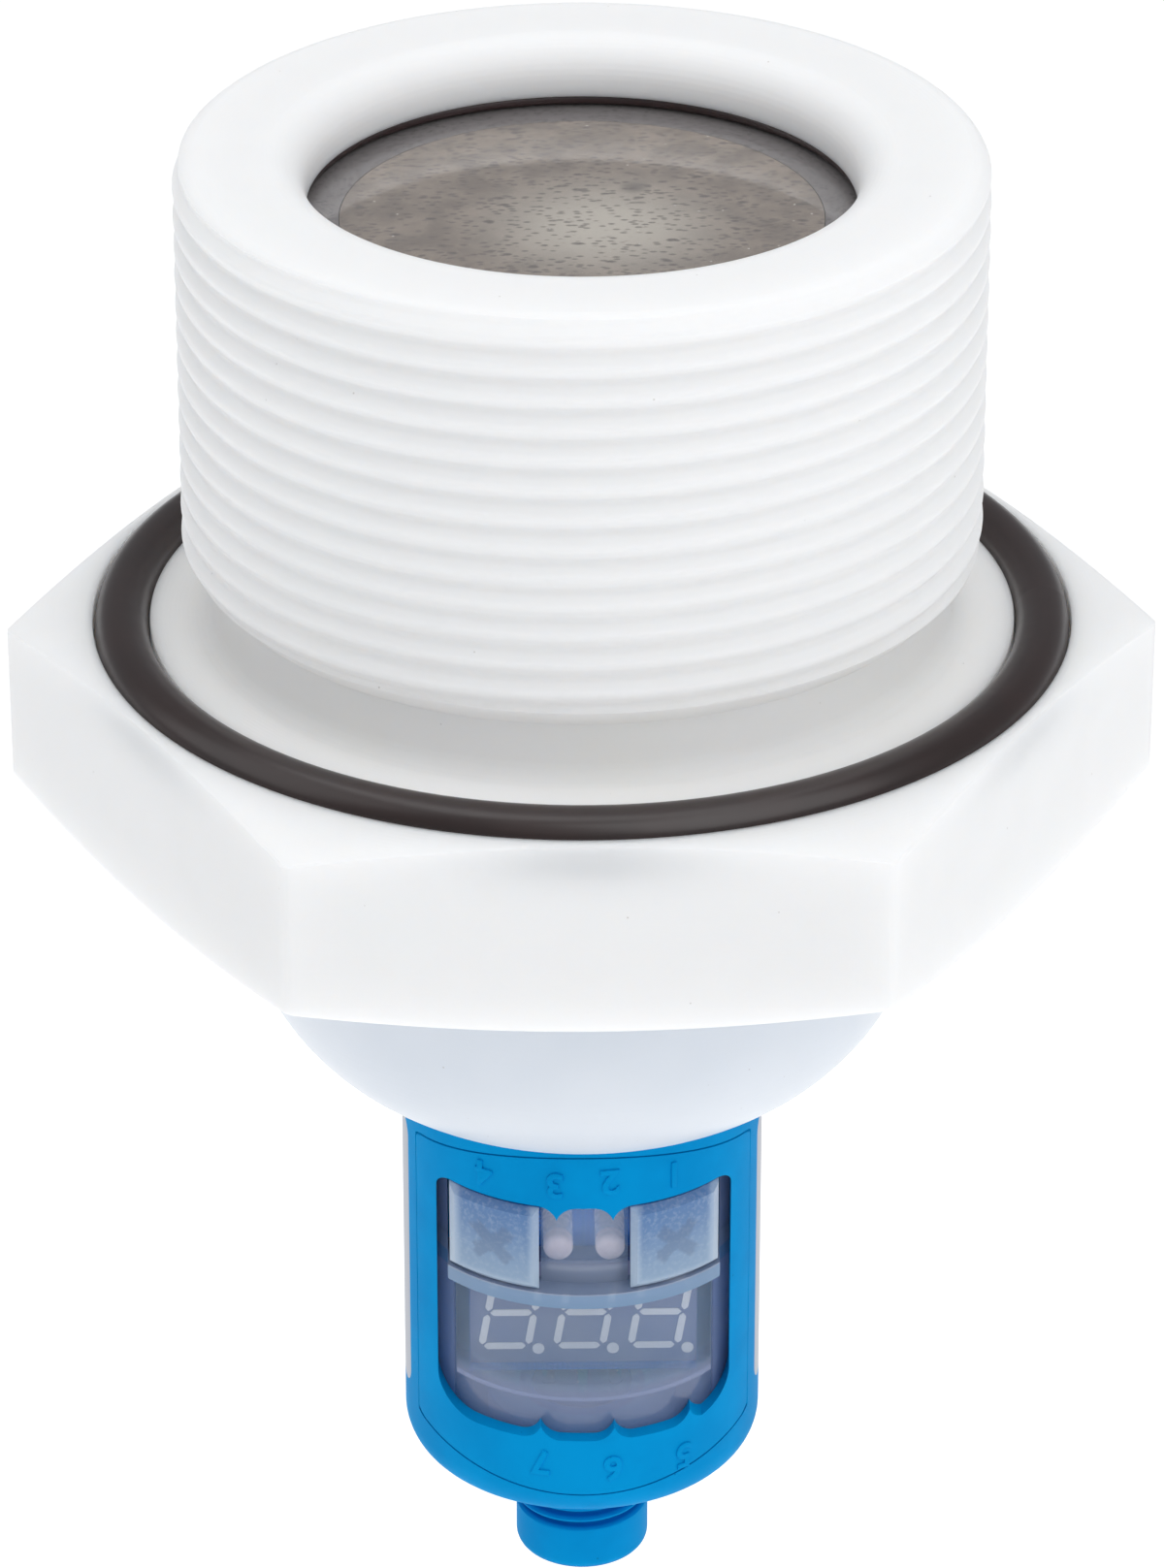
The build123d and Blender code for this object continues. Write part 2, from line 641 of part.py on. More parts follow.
def button(side):
    """Frosted cap with a ledge behind the cover and a cross-shaped stem over its switch.

    Nothing of it reaches further back than the stem.
    """
    cap_z = (BUTTON_FOOT, BUTTON_TOP)
    ledge_r = COVER_BACK_R - CURVE_GAP
    back_r = ledge_r - BUTTON_LEDGE_T
    solid = shell(BUTTON_R, BUTTON_R - BUTTON_WALL, button_span(side, 0), cap_z, front_only=False)
    front = solid.faces().filter_by(GeomType.CYLINDER).sort_by(SortBy.RADIUS)[-1]
    solid = chamfer(front.edges(), BUTTON_BEVEL)
    skirt_x = button_span(side, 0)
    skirt = shell(BUTTON_R - BUTTON_WALL, back_r, skirt_x, cap_z, front_only=False)
    hollow_x = button_span(side, -BUTTON_WALL)
    hollow_z = (BUTTON_FOOT + BUTTON_WALL, BUTTON_TOP - BUTTON_WALL)
    skirt -= block(hollow_x, (-HEAD_D, 0), hollow_z)
    ledge_z = (BUTTON_FOOT - BUTTON_LEDGE, BUTTON_TOP + BUTTON_LEDGE)
    ledge = shell(ledge_r, back_r, skirt_x, ledge_z, front_only=False)
    ledge -= block(hollow_x, (-HEAD_D, 0), hollow_z)
    stem_y = SWITCH_FRONT_Y - BUTTON_TRAVEL - PRESS_REST
    rib = Rectangle(STEM_SPAN, STEM_RIB)
    cross = Pos(side * STEM_X, BUTTON_MID) * (Rot(0, 0, 45) * rib + Rot(0, 0, -45) * rib)
    stem = from_front(cross, -HEAD_D, stem_y) & disc(BUTTON_R - BUTTON_WALL / 2, BUTTON_FOOT, BUTTON_TOP)
    solid = solid + skirt + ledge + stem
    return solid & block((-HEAD_D, HEAD_D), (-HEAD_D, stem_y), (HEAD_BOTTOM, HEAD_TOP))


def display_board():
    half = WINDOW_HALF - DISPLAY_BOARD_INSET
    back_y = DISPLAY_BOARD_Y + BOARD_T
    return block((-half, half), (DISPLAY_BOARD_Y, back_y), (CONTACT_TOP + DISPLAY_BOARD_UP, BUTTON_TOP))


def switch(side):
    """Push switch on the display board, under the button's stem."""
    x = side * STEM_X
    half = SWITCH_W / 2
    case = block(
        (x - half, x + half),
        (DISPLAY_BOARD_Y - SWITCH_T, DISPLAY_BOARD_Y),
        (BUTTON_MID - half, BUTTON_MID + half),
    )
    cap = Pos(x, BUTTON_MID) * Circle(SWITCH_BUTTON_D / 2)
    return case + from_front(cap, SWITCH_FRONT_Y, DISPLAY_BOARD_Y - SWITCH_T)


def led(side):
    """Round lamp that reaches from the board to the clear panel, with a domed end."""
    lens = Pos(side * LED_X, LED_Z) * Circle(LED_D / 2)
    solid = from_front(lens, LED_TIP_Y, DISPLAY_BOARD_Y)
    end = solid.faces().sort_by(Axis.Y)[0]
    return fillet(end.edges(), LED_D / 4)


def display_module():
    """Case of the three digit display."""
    low = DISPLAY_TOP - DISPLAY_H
    return block((-DISPLAY_HALF, DISPLAY_HALF), (DISPLAY_FACE_Y, DISPLAY_BOARD_Y), (low, DISPLAY_TOP))


def segment(length):
    """Bar with pointed ends, drawn along X."""
    half = length / 2 - SEGMENT_GAP
    side = SEGMENT_W / 2
    flat = half - side
    points = [(-half, 0), (-flat, side), (flat, side), (half, 0), (flat, -side), (-flat, -side)]
    return Polygon(*points, align=None)


def digit(x):
    """Seven slanted segments and a point, as flat bars on the display's face."""
    mid_z = DISPLAY_TOP - DISPLAY_H / 2
    half_w = DIGIT_W / 2
    half_h = DIGIT_H / 2
    lean = tan(radians(DIGIT_SLANT))
    bars = [Pos(x + level * lean, mid_z + level) * segment(DIGIT_W) for level in (-half_h, 0, half_h)]
    upright = Rot(0, 0, 90 - DIGIT_SLANT) * segment(half_h / cos(radians(DIGIT_SLANT)))
    for level in (-half_h / 2, half_h / 2):
        for side in (-half_w, half_w):
            bars.append(Pos(x + side + level * lean, mid_z + level) * upright)
    point_x = x + half_w + POINT_OFF_DIGIT
    bars.append(Pos(point_x, mid_z - half_h - SEGMENT_W / 2) * Circle(POINT_D / 2))
    return [from_front(bar, DISPLAY_FACE_Y - SEGMENT_T, DISPLAY_FACE_Y) for bar in bars]


def display_segments():
    first_x = DIGIT_LEFT + DIGIT_W / 2 - DISPLAY_HALF
    solids = []
    for place in range(DIGITS):
        solids += digit(first_x + place * (DIGIT_W + DIGIT_GAP))
    return Compound(children=solids)


def main_board():
    x = (-MAIN_BOARD_HALF, MAIN_BOARD_HALF)
    return block(x, (MAIN_BOARD_Y, MAIN_BOARD_BACK_Y), (CONTACT_TOP + MAIN_BOARD_FOOT, MAIN_BOARD_TOP))


def board_header():
    """Pin strip that joins the two boards."""
    half = HEADER_W / 2
    low = CONTACT_TOP + HEADER_ROOM
    return block((-half, half), (DISPLAY_BOARD_Y + BOARD_T, MAIN_BOARD_Y), (low, low + HEADER_H))


def pulse_transformer():
    """Core with a winding between its two cheeks, on the back of the main board."""
    width, depth, height = TRANSFORMER
    top = HEAD_TOP + SPIGOT_H + TRANSFORMER_ROOM + height
    back_y = MAIN_BOARD_BACK_Y + depth
    core = block((-width / 2, width / 2), (MAIN_BOARD_BACK_Y, back_y), (top - height, top))
    cheek = height / 4
    waist = block((-width, width), (back_y - cheek, back_y), (top - height + cheek, top - cheek))
    return core - waist


def microcontroller():
    width, depth, height = CHIP
    low = CAPACITOR_Z + CAPACITOR_D / 2 + CHIP_ROOM
    back_y = MAIN_BOARD_BACK_Y + depth
    return block((-width / 2, width / 2), (MAIN_BOARD_BACK_Y, back_y), (low, low + height))


def storage_capacitor():
    """Upright can on the back of the main board, with its crimped neck."""
    radius = CAPACITOR_D / 2
    height = sqrt((HEAD_BORE_R - CAPACITOR_BEHIND) ** 2 - radius**2) - MAIN_BOARD_BACK_Y
    outline = [
        (0, 0),
        (radius, 0),
        (radius, CAPACITOR_CRIMP_UP - CAPACITOR_CRIMP),
        (radius - CAPACITOR_CRIMP, CAPACITOR_CRIMP_UP),
        (radius, CAPACITOR_CRIMP_UP + CAPACITOR_CRIMP),
        (radius, height),
        (0, height),
    ]
    place = Pos(0, MAIN_BOARD_BACK_Y, CAPACITOR_Z) * Rot(-90, 0, 0)
    return place * turned(outline)


def plug_body():
    """Moulded plug: flange inside the head, shank, threaded nose and plain collar."""
    flange_r = PLUG_SHANK_R + PLUG_FLANGE_W
    shank_foot = HEAD_BOTTOM - PLUG_SHANK_L
    collar_top = PLUG_END + PLUG_COLLAR_L
    groove_r = PLUG_R - PLUG_GROOVE_DEPTH
    outline = [
        (PLUG_BORE_R, PLUG_TOP),
        (PLUG_BORE_R, PLUG_END),
        (PLUG_R, PLUG_END),
        (PLUG_R, collar_top),
        (groove_r, collar_top),
        (groove_r, collar_top + PLUG_GROOVE_L),
        (PLUG_R, collar_top + PLUG_GROOVE_L),
        (PLUG_R, shank_foot - PLUG_SHANK_STEP),
        (PLUG_SHANK_R, shank_foot),
        (PLUG_SHANK_R, HEAD_FLOOR_Z),
        (flange_r, HEAD_FLOOR_Z),
        (flange_r, PLUG_TOP),
    ]
    return turned(outline, [(PLUG_R, PLUG_END, PLUG_END_ROUND)])


def contact_places():
    return PolarLocations(PLUG_BORE_R - CONTACT_OFF_WALL, CONTACTS)


def contact_carrier():
    """Insulator that closes the plug's bore and holds the contacts."""
    floor = PLUG_END + CARRIER_RECESS
    solid = disc(PLUG_BORE_R - FIT, floor, PLUG_TOP)
    hole = disc(CONTACT_D / 2 + FIT, floor, PLUG_TOP)
    for place in contact_places():
        solid -= place * hole
    return solid


def contact_pins():
    """Round pins with rounded tips and solder tails."""
    pin = disc(CONTACT_D / 2, PLUG_END + CONTACT_SHORT, CONTACT_TOP)
    tip = pin.faces().sort_by(Axis.Z)[0]
    pin = fillet(tip.edges(), CONTACT_D / 3)
    return Compound(children=[place * pin for place in contact_places()])


def type_label():
    """Thin bare label, let into the back of the head."""
    return label_field(HEAD_R, HEAD_R - LABEL_T)


PIECES = {
    "process_body": process_body(),
    "process_seal": process_seal(),
    "rear_dome": rear_dome(),
    "dome_seal": dome_seal(),
    "transducer_seal": transducer_seal(),
    "face_film": disc(CUP_R, STACK_TOP, SEAL_FOOT),
    "matching_layer": disc(MATCHING_R, MATCHING_FOOT, STACK_TOP),
    "piezo_disc": disc(PIEZO_R, PIEZO_FOOT, MATCHING_FOOT),
    "decoupling_ring": decoupling_ring(),
    "transducer_cup": ring(CUP_R, CUP_BORE_R, CUP_FOOT, STACK_TOP),
    "damping_block": damping_block(),
    "clamp_ring": clamp_ring(),
    "temperature_probe": temperature_probe(),
    "transducer_leads": transducer_leads(),
    "electronics_housing": electronics_housing(),
    "housing_seal": housing_seal(),
    "lock_ring": lock_ring(),
    "face_bezel": face_bezel(),
    "window_cover": window_cover(),
    "button_1": button(1),
    "button_2": button(-1),
    "display_board": display_board(),
    "display_module": display_module(),
    "display_segments": display_segments(),
    "led_1": led(1),
    "led_2": led(-1),
    "switch_1": switch(1),
    "switch_2": switch(-1),
    "board_header": board_header(),
    "main_board": main_board(),
    "pulse_transformer": pulse_transformer(),
    "microcontroller": microcontroller(),
    "storage_capacitor": storage_capacitor(),
    "plug_body": plug_body(),
    "plug_seal": plug_seal(),
    "contact_carrier": contact_carrier(),
    "contact_pins": contact_pins(),
    "type_label": type_label(),
}

os.makedirs("parts", exist_ok=True)
for name, piece in PIECES.items():
    export_step(piece, f"parts/{name}.step")
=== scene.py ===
"""Ultrasonic level sensor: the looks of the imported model, in the order of assembly.

Sizes are in millimetres where a name says nothing else, and MM turns them into metres.
"""

from math import acos, cos, pi, radians, sin, sqrt, tan

import bmesh
import bpy
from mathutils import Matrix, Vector


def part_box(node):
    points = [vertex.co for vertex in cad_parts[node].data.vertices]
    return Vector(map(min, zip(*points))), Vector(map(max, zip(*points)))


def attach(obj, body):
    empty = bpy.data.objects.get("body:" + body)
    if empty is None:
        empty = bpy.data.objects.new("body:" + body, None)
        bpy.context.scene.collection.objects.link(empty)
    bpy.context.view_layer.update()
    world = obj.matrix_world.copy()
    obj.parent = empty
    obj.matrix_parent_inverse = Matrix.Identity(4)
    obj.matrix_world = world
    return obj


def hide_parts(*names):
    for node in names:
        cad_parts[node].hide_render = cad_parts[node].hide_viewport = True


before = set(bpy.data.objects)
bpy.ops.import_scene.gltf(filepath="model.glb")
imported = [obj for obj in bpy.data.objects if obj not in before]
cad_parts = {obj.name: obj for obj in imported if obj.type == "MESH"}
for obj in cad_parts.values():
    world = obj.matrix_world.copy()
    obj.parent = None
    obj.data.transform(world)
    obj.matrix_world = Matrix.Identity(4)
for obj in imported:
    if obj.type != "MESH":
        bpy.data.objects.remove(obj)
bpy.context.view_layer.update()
MM = 0.001


# Process body. One bar of white fluoropolymer, turned to a threaded neck with a front lip
# and milled to six flats. The parallel pipe thread is cut with a single-point tool.

def dye(red, green, blue):
    """Linear colour of a tone that is named by its 0 to 255 screen values."""
    tone = []
    for level in (red, green, blue):
        share = level / 255
        tone.append(share / 12.92 if share <= 0.04045 else ((share + 0.055) / 1.055) ** 2.4)
    return (*tone, 1.0)


class Finish:
    """A material built up on one Principled shader. Uniform values sit on its own sockets."""

    def __init__(self, name, **sockets):
        self.material = bpy.data.materials.new(name)
        self.material.use_nodes = True
        self.tree = self.material.node_tree
        self.shader = self.tree.nodes["Principled BSDF"]
        self.place = self.node("ShaderNodeTexCoord").outputs["Object"]
        self.height = None
        for socket, value in sockets.items():
            self.shader.inputs[socket.replace("_", " ")].default_value = value

    def node(self, kind, inputs=(), **settings):
        """A shader node with its inputs linked or set, by name or number."""
        made = self.tree.nodes.new(kind)
        for key, value in settings.items():
            setattr(made, key, value)
        for key, value in dict(inputs).items():
            if isinstance(value, bpy.types.NodeSocket):
                self.tree.links.new(value, made.inputs[key])
            else:
                made.inputs[key].default_value = value
        return made

    def maths(self, operation, *values):
        """A maths node on sockets or numbers."""
        return self.node("ShaderNodeMath", dict(enumerate(values)), operation=operation).outputs[0]

    def stretched(self, x, y, z):
        """Object coordinates scaled along each axis."""
        inputs = {"Vector": self.place, "Scale": (x, y, z)}
        return self.node("ShaderNodeMapping", inputs).outputs[0]

    def axis(self, letter):
        """One object coordinate, in millimetres."""
        split = self.node("ShaderNodeSeparateXYZ", {"Vector": self.place})
        return self.maths("DIVIDE", split.outputs[letter], MM)

    def cloud(self, size, detail=3.0, where=None):
        """Soft noise whose features are about size millimetres."""
        scale = 1 / (size * MM)
        inputs = {"Vector": where or self.place, "Scale": scale, "Detail": detail, "Roughness": 0.55}
        return self.node("ShaderNodeTexNoise", inputs).outputs["Fac"]

    def specks(self, size, share, where=None):
        """Scattered dots, 1 inside a dot and 0 outside. share is the dot's part of its cell."""
        inputs = {"Vector": where or self.place, "Scale": 1 / (size * MM)}
        near = self.node("ShaderNodeTexVoronoi", inputs).outputs["Distance"]
        solid_core = 0.45
        return self.step(near, share, share * solid_core)

    def marks(self, pitch, distortion, **form):
        """Tool marks one pitch apart. At scale 1 the texture's own waves are pi / 10 apart."""
        scale = pi / 10 / (pitch * MM)
        inputs = {"Vector": self.place, "Scale": scale, "Distortion": distortion, "Detail": 2.0}
        return self.node("ShaderNodeTexWave", inputs, **form).outputs["Fac"]

    def rings(self, pitch, axis="Z", distortion=0.3):
        """Tool marks round an axis, by distance from it."""
        return self.marks(pitch, distortion, wave_type="RINGS", rings_direction=axis)

    def bands(self, pitch, axis="Z", distortion=0.3):
        """Tool marks across an axis."""
        return self.marks(pitch, distortion, wave_type="BANDS", bands_direction=axis)

    def step(self, value, start, end):
        """0 at start and 1 at end, eased between."""
        inputs = {"Value": value, "From Min": start, "From Max": end}
        return self.node("ShaderNodeMapRange", inputs, interpolation_type="SMOOTHSTEP").outputs[0]

    def mix(self, share, first, second):
        """Colour that runs from first to second as share runs from 0 to 1."""
        made = self.node("ShaderNodeMix", {0: share}, data_type="RGBA")
        for key, value in ((6, first), (7, second)):
            if isinstance(value, bpy.types.NodeSocket):
                self.tree.links.new(value, made.inputs[key])
            else:
                made.inputs[key].default_value = value
        return made.outputs[2]

    def colour(self, value):
        """Base colour of the shader."""
        self.tree.links.new(value, self.shader.inputs["Base Color"])

    def drive(self, socket, value, low, high):
        """Runs a socket from low to high with a value of 0 to 1."""
        spread = self.node("ShaderNodeMapRange", {"Value": value, "To Min": low, "To Max": high})
        self.tree.links.new(spread.outputs[0], self.shader.inputs[socket])

    def roughness(self, value, low, high):
        """Roughness that runs from low to high with a value of 0 to 1."""
        self.drive("Roughness", value, low, high)

    def relief(self, value, depth, socket="Normal"):
        """Fine relief of a depth in millimetres, laid on the relief before it."""
        inputs = {"Height": value, "Distance": depth * MM}
        if self.height is not None:
            inputs["Normal"] = self.height
        self.height = self.node("ShaderNodeBump", inputs).outputs[0]
        self.tree.links.new(self.height, self.shader.inputs[socket])


def lathe(name, rows, angles):
    """Closed turned mesh. Each row is a (radius, height) pair or a function of the angle."""
    points = []
    for row in rows:
        for angle in angles:
            radius, height = row(angle) if callable(row) else row
            points.append((radius * cos(angle) * MM, radius * sin(angle) * MM, height * MM))
    count = len(angles)
    faces = []
    for low in range(len(rows)):
        lower = low * count
        upper = (low + 1) % len(rows) * count
        for left in range(count):
            right = (left + 1) % count
            faces.append((lower + left, lower + right, upper + right, upper + left))
    mesh = bpy.data.meshes.new(name)
    mesh.from_pydata(points, [], faces)
    return placed(name, mesh)


SHARP_EDGE = radians(35)


def placed(name, mesh):
    """Object of a mesh, with its normals outward, smooth apart from its sharp edges."""
    form = bmesh.new()
    form.from_mesh(mesh)
    bmesh.ops.recalc_face_normals(form, faces=form.faces)
    form.to_mesh(mesh)
    form.free()
    mesh.shade_smooth()
    mesh.set_sharp_from_angle(angle=SHARP_EDGE)
    piece = bpy.data.objects.new(name, mesh)
    bpy.context.scene.collection.objects.link(piece)
    return piece


def arc(centre, radius, start, end, steps):
    """(radius, height) pairs along an arc between two angles in degrees."""
    pairs = []
    for index in range(steps + 1):
        turn = radians(start + (end - start) * index / steps)
        pairs.append((centre[0] + radius * cos(turn), centre[1] + radius * sin(turn)))
    return pairs


THREAD_DEPTH_SHARE = 0.6403
THREAD_ROUND_SHARE = 0.1373
FLANK_LEAN = radians(55) / 2


def thread_depth(along, pitch):
    """Depth below the crest of a 55 degree thread with rounded crests and roots."""
    full = THREAD_DEPTH_SHARE * pitch
    round_r = THREAD_ROUND_SHARE * pitch
    off_crest = abs((along / pitch + 0.5) % 1 - 0.5) * pitch
    off_root = pitch / 2 - off_crest
    reach = round_r * cos(FLANK_LEAN)
    if off_crest < reach:
        return round_r - sqrt(round_r**2 - off_crest**2)
    if off_root < reach:
        return full - round_r + sqrt(round_r**2 - off_root**2)
    return round_r * (1 - sin(FLANK_LEAN)) + (off_crest - reach) / tan(FLANK_LEAN)


def top_of(node):
    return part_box(node)[1].z / MM


def foot_of(node):
    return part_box(node)[0].z / MM


NECK_TOP = top_of("process_body")
HEX_FOOT = foot_of("process_body")
FLATS_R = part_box("process_body")[1].y / MM
CORNER_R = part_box("process_body")[1].x / MM
LAND_INSIDE = 0.2
HEX_LAND_R = FLATS_R - LAND_INSIDE
HEX_BEVEL = tan(radians(15))
ARRIS = 0.15
ARRIS_FALL = 0.12
CREST_R = 29.807
PITCH = 2.309
ROOT_DOWN = 4.45
CREST_AT = NECK_TOP - ROOT_DOWN + PITCH / 2
GROOVE_SHOWN = 0.42
EDGE_ROUND = 1.6
UNDERCUT_R = 27.63
UNDERCUT_TOP = 4.5
UNDERCUT_ROUND = 1.5
GROOVE = (32.35, 36.65)
GROOVE_FLOOR = -2.6
LIP_R = 20.107
LIP_ROUND = 3.0
LIP_FOOT = top_of("transducer_seal")
CUP_PLAY = 0.1
DOME_PLAY = 0.05
CAVITY_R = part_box("transducer_cup")[1].x / MM + CUP_PLAY
DOME_BORE_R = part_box("rear_dome")[1].x / MM + DOME_PLAY
DOME_BORE_TOP = top_of("rear_dome") + DOME_PLAY
CORNER_SPREAD = (-0.9, -0.47, -0.2, 0.2, 0.47, 0.9)
TURN_STEPS = 288
ROWS_PER_PITCH = 16
FILLET_STEPS = 8
LIP_STEPS = 16


def flat_radius(angle):
    """Radius of the hexagon at an angle, with its corners just blunted."""
    off_flat = (angle + radians(30)) % radians(60) - radians(30)
    return min(FLATS_R / cos(abs(off_flat) - radians(30)), CORNER_R)


def hex_upper(angle, inset=0.0):
    """Point of the hexagon's front bevel at an angle, drawn in by an inset."""
    radius = flat_radius(angle) - inset
    return radius, -(radius - HEX_LAND_R) * HEX_BEVEL


def hex_lower(angle, inset=0.0):
    """The same point of its rear bevel."""
    radius, height = hex_upper(angle, inset)
    return radius, HEX_FOOT - height


def neck_row(height):
    """Row of the neck, cut by the thread between the undercut's cone and the rounded end.

    Light inside the bar fills the grooves, so they are drawn shallower than they are cut.
    """
    def at(angle):
        along = height - CREST_AT - PITCH * angle / (2 * pi)
        threaded = CREST_R - GROOVE_SHOWN * thread_depth(along, PITCH)
        run_in = UNDERCUT_R + max(height - UNDERCUT_TOP, 0)
        rise = max(height - (NECK_TOP - EDGE_ROUND), 0)
        run_out = CREST_R - EDGE_ROUND + sqrt(max(EDGE_ROUND**2 - rise**2, 0))
        return min(threaded, run_in, run_out), height
    return at


def process_body_rows():
    """The bar's outline from its rear end over hexagon, neck and lip, and back down the bore."""
    rows = [
        (DOME_BORE_R, HEX_FOOT),
        (HEX_LAND_R, HEX_FOOT),
        lambda angle: hex_lower(angle, ARRIS),
        lambda angle: (hex_lower(angle)[0], hex_lower(angle)[1] + ARRIS_FALL),
        lambda angle: (hex_upper(angle)[0], hex_upper(angle)[1] - ARRIS_FALL),
        lambda angle: hex_upper(angle, ARRIS),
        (HEX_LAND_R, 0),
        (GROOVE[1], 0),
        (GROOVE[1], GROOVE_FLOOR),
        (GROOVE[0], GROOVE_FLOOR),
        (GROOVE[0], 0),
        (UNDERCUT_R + 2 * UNDERCUT_ROUND, 0),
    ]
    fillet = (UNDERCUT_R + UNDERCUT_ROUND, UNDERCUT_ROUND)
    rows += arc(fillet, UNDERCUT_ROUND, 270, 180, FILLET_STEPS)
    steps = round((NECK_TOP - UNDERCUT_TOP) / PITCH * ROWS_PER_PITCH)
    for index in range(steps + 1):
        rows.append(neck_row(UNDERCUT_TOP + (NECK_TOP - UNDERCUT_TOP) * index / steps))
    rows += arc((LIP_R + LIP_ROUND, NECK_TOP - LIP_ROUND), LIP_ROUND, 90, 180, LIP_STEPS)
    rows += [
        (LIP_R, LIP_FOOT),
        (CAVITY_R, LIP_FOOT),
        (CAVITY_R, DOME_BORE_TOP),
        (DOME_BORE_R, DOME_BORE_TOP),
    ]
    return rows


def hex_angles():
    """Even steps round the axis, with more beside each corner of the hexagon."""
    turns = [360 * index / TURN_STEPS for index in range(TURN_STEPS)]
    for corner in range(6):
        turns += [(60 * corner + off) % 360 for off in CORNER_SPREAD]
    return [radians(turn) for turn in sorted(turns)]


BOUNCE_FULL = 2.0
BOUNCE_END = 14.0


def white_fluoropolymer(name, light, shade, gloss, glow, depth):
    """Milky white bar stock: faint clouds, turning marks and light that sinks in.

    Round the foot of the neck it is painted a little warmer, for light bounced off the brown O-ring.
    """
    finish = Finish(
        name,
        IOR=1.42,
        Specular_IOR_Level=0.2,
        Subsurface_Weight=glow,
        Subsurface_Radius=(1.0, 0.95, 0.9),
        Subsurface_Scale=depth * MM,
    )
    haze = finish.step(finish.cloud(14.0, 2.0), 0.3, 0.7)
    grain = finish.cloud(0.5, 2.0)
    dust = finish.specks(3.1, 0.035)
    tone = finish.mix(haze, dye(*light), dye(*shade))
    # Painted bounce light: a warm tint round the foot of the neck, from the brown O-ring.
    height = finish.axis("Z")
    fade = finish.step(height, BOUNCE_END, BOUNCE_FULL)
    painted_bounce = finish.maths("MULTIPLY", fade, finish.step(height, -0.5, 0.0))
    tone = finish.mix(finish.maths("MULTIPLY", painted_bounce, 0.6), tone, dye(251, 246, 241))
    finish.colour(finish.mix(finish.maths("MULTIPLY", dust, 0.35), tone, dye(150, 140, 130)))
    finish.roughness(grain, gloss - 0.05, gloss + 0.07)
    finish.relief(finish.rings(0.34), 0.003)
    finish.relief(finish.bands(0.42), 0.003)
    finish.relief(grain, 0.004)
    return finish


body = lathe("process_body_turned", process_body_rows(), hex_angles())
body.modifiers.new("flats", "WEIGHTED_NORMAL").keep_sharp = True
body_white = white_fluoropolymer("white_bar", (249, 250, 251), (245, 246, 246), 0.5, 1.0, 2.5)
body.data.materials.append(body_white.material)
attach(body, "sensor")
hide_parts("process_body")


# Process seal. A moulded O-ring of dark brown fluoroelastomer, pressed into the groove of
# the sealing face so that it stands 1.4 mm proud.

def dress(finish, *nodes):
    """Gives CAD nodes a finish through their objects' material slots."""
    for node in nodes:
        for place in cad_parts[node].material_slots:
            place.link = "OBJECT"
            place.material = finish.material


def seal_rubber(name, tone, gloss):
    """Moulded rubber with a faint bloom and fine grain."""
    finish = Finish(name, IOR=1.6)
    bloom = finish.step(finish.cloud(6.0, 4.0), 0.3, 0.75)
    darker = [level * 0.92 for level in tone]
    paler = [level * 1.08 for level in tone]
    finish.colour(finish.mix(bloom, dye(*darker), dye(*paler)))
    finish.roughness(finish.cloud(1.6, 3.0), gloss - 0.04, gloss + 0.06)
    finish.relief(finish.cloud(0.16, 2.0), 0.002)
    return finish


dress(seal_rubber("process_rubber", (38, 22, 20), 0.3), "process_seal")


# Sounding face. A speckled composite matching layer in a grey foam ring, behind a thin clear
# film. A flat rubber seal under the lip presses on the film's edge.

GLOSS_WAVE = 0.6
FACE_CENTRE_MARK = (1.5, -2.0)
FACE_DARK_SPOT = (3.9, 5.2)
FILM_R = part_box("face_film")[1].x / MM
FILM_TOP = top_of("face_film")
FILM_T = 0.15
FILM_SAG = 0.012
FILM_STEPS = 24
FILM_EYE = 0.02


def round_spot(finish, centre, inner, outer):
    """1 within the inner radius of a point in plan, 0 beyond the outer."""
    off_x = finish.maths("SUBTRACT", finish.axis("X"), centre[0])
    off_y = finish.maths("SUBTRACT", finish.axis("Y"), centre[1])
    squares = finish.maths("ADD", finish.maths("POWER", off_x, 2.0), finish.maths("POWER", off_y, 2.0))
    return finish.step(finish.maths("SQRT", squares), outer, inner)


def film_gloss(finish):
    """Clear film on top of a material, drawn down into small waves."""
    finish.shader.inputs["Coat Weight"].default_value = 1.0
    finish.shader.inputs["Coat IOR"].default_value = 2.4
    finish.shader.inputs["Coat Roughness"].default_value = 0.02
    own_height = finish.height
    finish.height = None
    finish.relief(finish.cloud(GLOSS_WAVE, 2.0), 0.01, "Coat Normal")
    finish.height = own_height


def speckled_composite():
    """Glass beads in resin: warm grey with small dark grains, paler towards the middle."""
    finish = Finish("speckled_composite", IOR=1.5)
    wide = finish.stretched(0.55, 1.0, 1.0)
    drift = finish.step(finish.cloud(3.2, 5.0), 0.3, 0.7)
    bed = finish.mix(drift, dye(112, 97, 85), dye(148, 132, 118))
    bed = finish.mix(round_spot(finish, FACE_CENTRE_MARK, 1.0, 12.0), bed, dye(208, 200, 188))
    dots = finish.specks(1.05, 0.3, wide)
    grains = finish.maths("MULTIPLY", dots, finish.step(finish.cloud(2.2), 0.42, 0.6))
    bed = finish.mix(finish.maths("MULTIPLY", grains, 0.9), bed, dye(70, 58, 54))
    fine = finish.specks(0.5, 0.42, wide)
    bed = finish.mix(finish.maths("MULTIPLY", fine, 0.7), bed, dye(78, 66, 60))
    pale = finish.specks(1.6, 0.07)
    bed = finish.mix(finish.maths("MULTIPLY", pale, 0.8), bed, dye(238, 234, 226))
    spot = finish.maths("MULTIPLY", round_spot(finish, FACE_DARK_SPOT, 0.2, 1.5), 0.75)
    finish.colour(finish.mix(spot, bed, dye(88, 78, 72)))
    finish.roughness(finish.cloud(0.7), 0.45, 0.7)
    finish.relief(finish.cloud(0.6, 4.0), 0.02)
    film_gloss(finish)
    return finish


